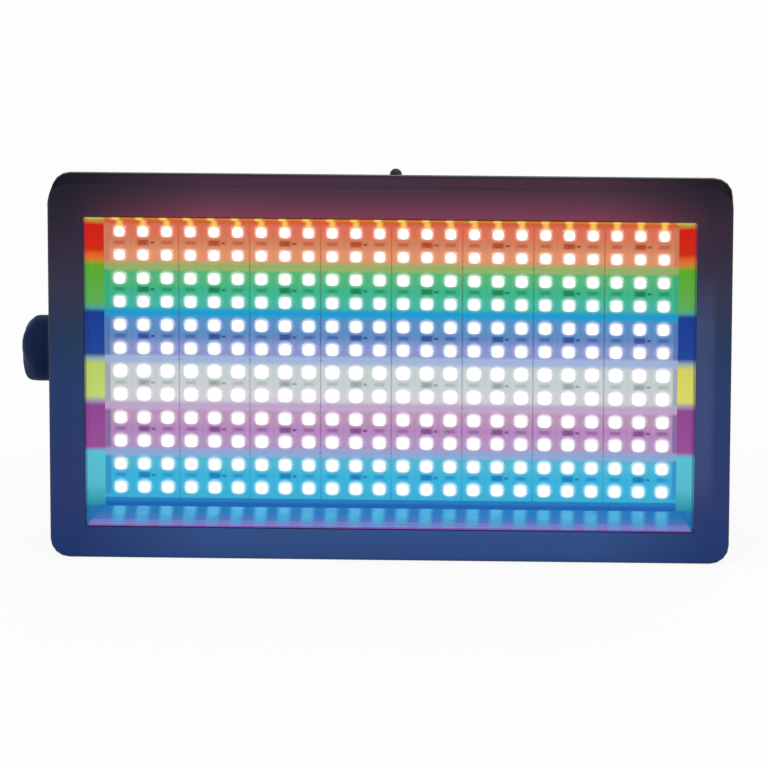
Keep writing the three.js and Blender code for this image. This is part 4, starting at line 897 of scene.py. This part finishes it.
def dress(node, material, edge):
    """Gives a CAD node its finish, eased edges and smooth shading over its facets."""
    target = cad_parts[node]
    target.data.materials.clear()
    target.data.materials.append(material)
    joined = target.modifiers.new("joined_corners", "WELD")
    joined.merge_threshold = JOIN_WITHIN * MM
    if edge:
        flat = target.modifiers.new("flat_faces", "DECIMATE")
        flat.decimate_type = "DISSOLVE"
        flat.angle_limit = math.radians(FLAT_WITHIN)
        cut = target.modifiers.new("even_faces", "TRIANGULATE")
        cut.min_vertices = 5
        eased = target.modifiers.new("eased_edges", "BEVEL")
        eased.width = edge * MM
        eased.segments = 2
        eased.limit_method = "ANGLE"
        eased.angle_limit = math.radians(EASED_FROM)
        eased.use_clamp_overlap = False
    soft = target.modifiers.new("smooth_faces", "NODES")
    soft.node_group = SMOOTH
    even = target.modifiers.new("even_normals", "WEIGHTED_NORMAL")
    even.keep_sharp = True


# Nodes, their finish and how far their edges are eased
KEPT = [
    ("front_shell", "front", 0.35),
    ("rear_shell", "rear", 0.2),
    ("reflector", "silver", 0.0),
    ("window", "window", 0.0),
    ("led_plate", "plate", 0.0),
    ("plate_screw_1 plate_screw_2 plate_screw_3 plate_screw_4 knob_stud", "bright", 0.0),
    ("eye_nut", "bright", 0.2),
    ("bracket", "bracket", 0.4),
    ("friction_washer_left friction_washer_right", "rubber", 0.15),
    ("pivot_insert_left pivot_insert_right", "brass", 0.0),
    ("display_module", "display", 0.2),
    ("display_lens", "lens", 0.2),
    ("control_board driver_board", "circuit", 0.0),
    ("power_supply", "supply", 0.0),
    ("microphone", "socket_metal", 0.2),
    ("dmx_in_socket", "socket_metal", 0.25),
    ("power_inlet dmx_out_socket", "socket", 0.25),
    ("fan_frame", "fan", 0.25),
    ("fan_rotor", "fan", 0.15),
    ("mains_lead", "black_lead", 0.0),
    ("power_lead", "red_lead", 0.0),
]
for names, finish, edge in KEPT:
    for node_name in names.split():
        dress(node_name, MATERIALS[finish], edge)


# Knob: a round skirt under a three-lobed dome
KNOB_RADIUS = 14.1
KNOB_SKIRT = 5.0
KNOB_LOBES = 3
# Skirt rows: distance from the foot, and radius as a share; a groove runs near its top
KNOB_SKIRT_ROWS = [(0.0, 0.93), (0.0, 0.98), (0.3, 1.0), (4.3, 1.0), (4.5, 0.99), (4.7, 0.99), (4.9, 1.0)]
# Dome rows: distance from the tip as a share of the dome's depth, mean radius, lobe height
KNOB_DOME = [(1.0, 1.0, 0.0), (0.814, 0.997, 0.003), (0.66, 0.992, 0.006), (0.5, 0.966, 0.028),
             (0.342, 0.902, 0.08), (0.196, 0.795, 0.13), (0.08, 0.62, 0.16), (0.0, 0.385, 0.12)]


def catmull(rows, steps):
    """Rows filled in along a smooth curve through them."""
    filled = []
    for place in range(len(rows) - 1):
        before = rows[max(place - 1, 0)]
        first, second = rows[place], rows[place + 1]
        after = rows[min(place + 2, len(rows) - 1)]
        for step in range(steps):
            t = step / steps
            filled.append(tuple(
                0.5 * ((2 * b) + (c - a) * t + (2 * a - 5 * b + 4 * c - d) * t * t
                       + (3 * b - a - 3 * c + d) * t ** 3)
                for a, b, c, d in zip(before, first, second, after)))
    filled.append(rows[-1])
    return filled


def make_knob(sides=120):
    low, high = box_mm("knob")
    y, z = middle_of("knob").y, pivot.z
    foot, tip = high.x, low.x
    depth = foot - tip - KNOB_SKIRT

    def ring(x, mean, lobe):
        points = []
        for side in range(sides):
            angle = 2 * math.pi * side / sides
            reach = KNOB_RADIUS * min(mean + lobe * math.cos(KNOB_LOBES * (angle + math.pi / 2)), 1.0)
            points.append((x, y + reach * math.cos(angle), z + reach * math.sin(angle)))
        return points

    rings = [ring(foot - rise, mean, 0.0) for rise, mean in KNOB_SKIRT_ROWS]
    for share, mean, lobe in catmull(KNOB_DOME, 6)[1:]:
        rings.append(ring(tip + share * depth, mean, lobe))
    rings.append(ring(tip, 0.18, 0.02))
    rings.append(ring(tip, 0.05, 0.0))
    shape = Shape()
    shape.loft(rings)
    shape.make("knob_cap", [MATERIALS["knob"]], ["knob"], "knob", 50)


pivot = middle_of("pivot_insert_left")
make_knob()


# Screws: pan heads with hexagon sockets
def screw_rows(foot, top, rise, shank, head, socket):
    """A shank from its foot, and a head as high as rise up to top, with a socket in it."""
    seat = top - rise
    return [(foot, shank * 0.7), (foot + 0.6, shank), (seat, shank), (seat, head * 0.94),
            (seat + 0.08 * rise, head), (seat + 0.45 * rise, head), (seat + 0.75 * rise, head * 0.93),
            (seat + 0.93 * rise, head * 0.8), (top, head * 0.66), (top, socket * 1.06, 6),
            (top - 0.15, socket, 6), (top - SOCKET_DEPTH, socket, 6)]


SCREW_HEAD = 2.0
PIVOT_HEAD = 1.2
SOCKET_DEPTH = 1.0


def make_screw(node, centre, rows, sides=36, axis="y"):
    shape = Shape()
    shape.turned(centre, rows, sides, axis=axis)
    shape.make(node.replace("_screw", "_bolt"), [MATERIALS["black_screw"]], [node])


for kind, count in (("case", 6), ("inlet", 2), ("dmx", 4), ("fan", 4)):
    for place in range(count):
        screw = "%s_screw_%d" % (kind, place + 1)
        low, high = box_mm(screw)
        make_screw(screw, middle_of(screw).xz, screw_rows(low.y, high.y, SCREW_HEAD, 1.5, 2.9, 1.3))
low, high = box_mm("pivot_screw")
make_screw("pivot_screw", pivot.yz, screw_rows(low.x, high.x, PIVOT_HEAD, 3.0, 6.5, 2.3), 48, "x")


# Safety eye: ring, neck and collar
def make_eye(around=64, tube_sides=24):
    low, high = box_mm("eye_bolt")
    z = (low.z + high.z) / 2
    reach = (high.z - low.z) / 2
    tube = 2.6
    radius = reach - tube
    centre_y = high.y - reach
    section = [(radius + out, across) for out, across in round_outline(tube, tube_sides)]
    rings = []
    for step in range(around):
        turn = 2 * math.pi * step / around
        rings.append([(across, centre_y + out * math.cos(turn), z + out * math.sin(turn))
                      for out, across in section])
    shape = Shape()
    shape.loft(rings, closed=True)
    base = box_mm("rear_shell")[1].y + 0.3
    shape.turned((0.0, z), [
        (low.y, 2.3), (low.y + 0.6, 2.9), (base, 2.9), (base, 5.2), (base + 0.3, 5.5), (base + 1.6, 5.5),
        (base + 2.2, 5.1), (base + 2.7, 4.2), (base + 3.6, 3.5), (base + 4.6, 2.9)], 40)
    shape.make("eye_ring", [MATERIALS["eye"]], ["eye_bolt"], angle=50)


make_eye()


# Buttons: domed caps with a raised mark each
def make_button(name, mark):
    node = name + "_button"
    low, high = box_mm(node)
    x, z = middle_of(node).xz
    top = high.y
    shape = Shape()
    shape.turned((x, z), [
        (low.y, 5.0), (low.y + 0.2, 5.2), (low.y + 1.3, 5.2), (low.y + 1.5, 5.0), (low.y + 1.5, 4.0),
        (top - 0.9, 4.0), (top - 0.4, 3.86), (top - 0.2, 3.5), (top - 0.12, 2.6), (top - 0.1, 1.0)], 40)
    for outline in mark:
        points = [(x + side, z + up) for side, up in outline]
        shape.along_y([(points, top - 0.3), (points, top)], 1)
    shape.make(name + "_key", [MATERIALS["button"], MATERIALS["mark"]], [node], node)


def bar_mark(up, half=1.5, thick=0.22):
    return [(-half, up - thick), (half, up - thick), (half, up + thick), (-half, up + thick)]


BUTTON_MARKS = {
    "menu": [bar_mark(-1.0), bar_mark(0.0), bar_mark(1.0)],
    "down": [[(-1.5, 0.9), (0.0, -1.5), (1.5, 0.9)]],
    "up": [[(-1.5, -0.9), (1.5, -0.9), (0.0, 1.5)]],
    "enter": [round_outline(1.3, 20)],
}
for button_name, button_mark in BUTTON_MARKS.items():
    make_button(button_name, button_mark)


# Display: four digits behind the lens, each of seven segments
DIGIT_SEGMENTS = {"0": "abcdef", "1": "bc"}


def digit_material():
    made = Shader("segment_red", 0.4)
    made.paint(made.mix(made.noise(1.0), rgb(255, 60, 40), rgb(255, 84, 60)))
    made.glow(rgb(255, 50, 36), 1.6)
    return made.made


def segment(x, z, half, upright, thick=0.55):
    """A slim six-sided bar."""
    points = [(-half, 0), (-half + thick, thick), (half - thick, thick), (half, 0), (half - thick, -thick),
              (-half + thick, -thick)]
    return [(x + (b if upright else a), z + (a if upright else b)) for a, b in points]


def make_digits(text="0001", width=7.0, height=11.0, pitch=10.0):
    high = box_mm("display_module")[1]
    x0, z0 = middle_of("display_module").xz
    off = plastic("segment_off", rgb(58, 22, 24), rgb(48, 18, 20))
    half_x, half_z = width / 2, height / 2
    # Each segment: its place, half its length and whether it stands upright
    segments = {
        "a": (0, half_z, half_x, False), "b": (-half_x, half_z / 2, half_z / 2, True),
        "c": (-half_x, -half_z / 2, half_z / 2, True), "d": (0, -half_z, half_x, False),
        "e": (half_x, -half_z / 2, half_z / 2, True), "f": (half_x, half_z / 2, half_z / 2, True),
        "g": (0, 0, half_x, False)}
    shape = Shape()
    for place, digit in enumerate(text):
        x = x0 + ((len(text) - 1) / 2 - place) * pitch
        for name, (side, up, half, upright) in segments.items():
            outline = segment(x + side, z0 + up, half - 0.4, upright)
            lit = name in DIGIT_SEGMENTS[digit]
            shape.along_y([(outline, high.y - 0.1), (outline, high.y + 0.15)], 0 if lit else 1)
    shape.make("display_digits", [digit_material(), off])


make_digits()


# Sockets: blades, pins and contacts as metal sleeves whose holes are darkened by painted shade, and the
# latch

# A signal socket's contacts stand this far from its middle, along X and along Z
CONTACTS = ((-4.4, 0.0), (4.4, 0.0), (0.0, -4.4))


def make_contacts():
    low, high = box_mm("power_inlet")
    x, z = middle_of("power_inlet").xz
    floor = low.y + 4.0
    tip = high.y - 5.0
    blades = Shape()
    for dx, dz in ((-7.0, -1.0), (0.0, 3.0), (7.0, -1.0)):
        outline = rectangle(x + dx, z + dz, 1.06, 2.06, 0.3, 3)
        blades.along_y([(outline, floor - 0.2), (outline, tip - 0.5),
                        (rectangle(x + dx, z + dz, 0.7, 1.7, 0.3, 3), tip + 0.1)])
    blades.make("inlet_blades", [MATERIALS["bright"]])
    low, high = box_mm("dmx_in_socket")
    x, z = middle_of("dmx_in_socket").xz
    floor = low.y + 6.0
    tip = high.y - 4.5
    pins = Shape()
    for dx, dz in CONTACTS:
        pins.turned((x + dx, z + dz), [(floor - 0.2, 1.25), (tip - 0.9, 1.25), (tip - 0.35, 1.1),
                                       (tip + 0.05, 0.65), (tip + 0.12, 0.3)], 24)
    pins.make("signal_pins", [MATERIALS["gold"]])
    seat = Shape()
    seat.turned((x, z), [(floor - 0.3, 8.5), (floor + 0.25, 8.5), (floor + 0.35, 8.3)], 48)
    seat.make("signal_insert", [MATERIALS["socket"]])
    x, z = middle_of("dmx_out_socket").xz
    face = box_mm("dmx_out_socket")[1].y
    sleeves = Shape()
    for dx, dz in CONTACTS:
        sleeves.turned((x + dx, z + dz), [
            (face - 10.0, 1.42), (face - 0.25, 1.42), (face - 0.25, 1.15), (face - 9.0, 1.1)], 24)
        # A dark disc in the black rubber finish, 3 mm down each sleeve, is painted shade for the depth of
        # the hole
        sleeves.turned((x + dx, z + dz), [(face - 3.0, 1.3), (face - 2.6, 1.3)], 24, 1)
    sleeves.make("signal_sleeves", [MATERIALS["gold"], MATERIALS["rubber"]])


make_contacts()


def make_latch():
    low, high = box_mm("dmx_latch")
    x, z = middle_of("dmx_latch").xz
    half_x, half_z = (high.x - low.x) / 2, (high.z - low.z) / 2
    rows = [(0.0, low.y), (0.0, high.y - 0.35), (0.12, high.y - 0.1), (0.4, high.y)]
    shape = Shape()
    shape.along_y([(rectangle(x, z, half_x - inset, half_z - inset, 0.25, 3), y) for inset, y in rows])
    for step in (-1, 0, 1):
        shape.slab(x + step * 1.5, z, 0.25, half_z - 0.35, high.y - 0.2, high.y - 0.02, 0.1, 0.05, 0, 2)
    shape.make("latch_key", [MATERIALS["bright"]], ["dmx_latch"], "latch")


make_latch()
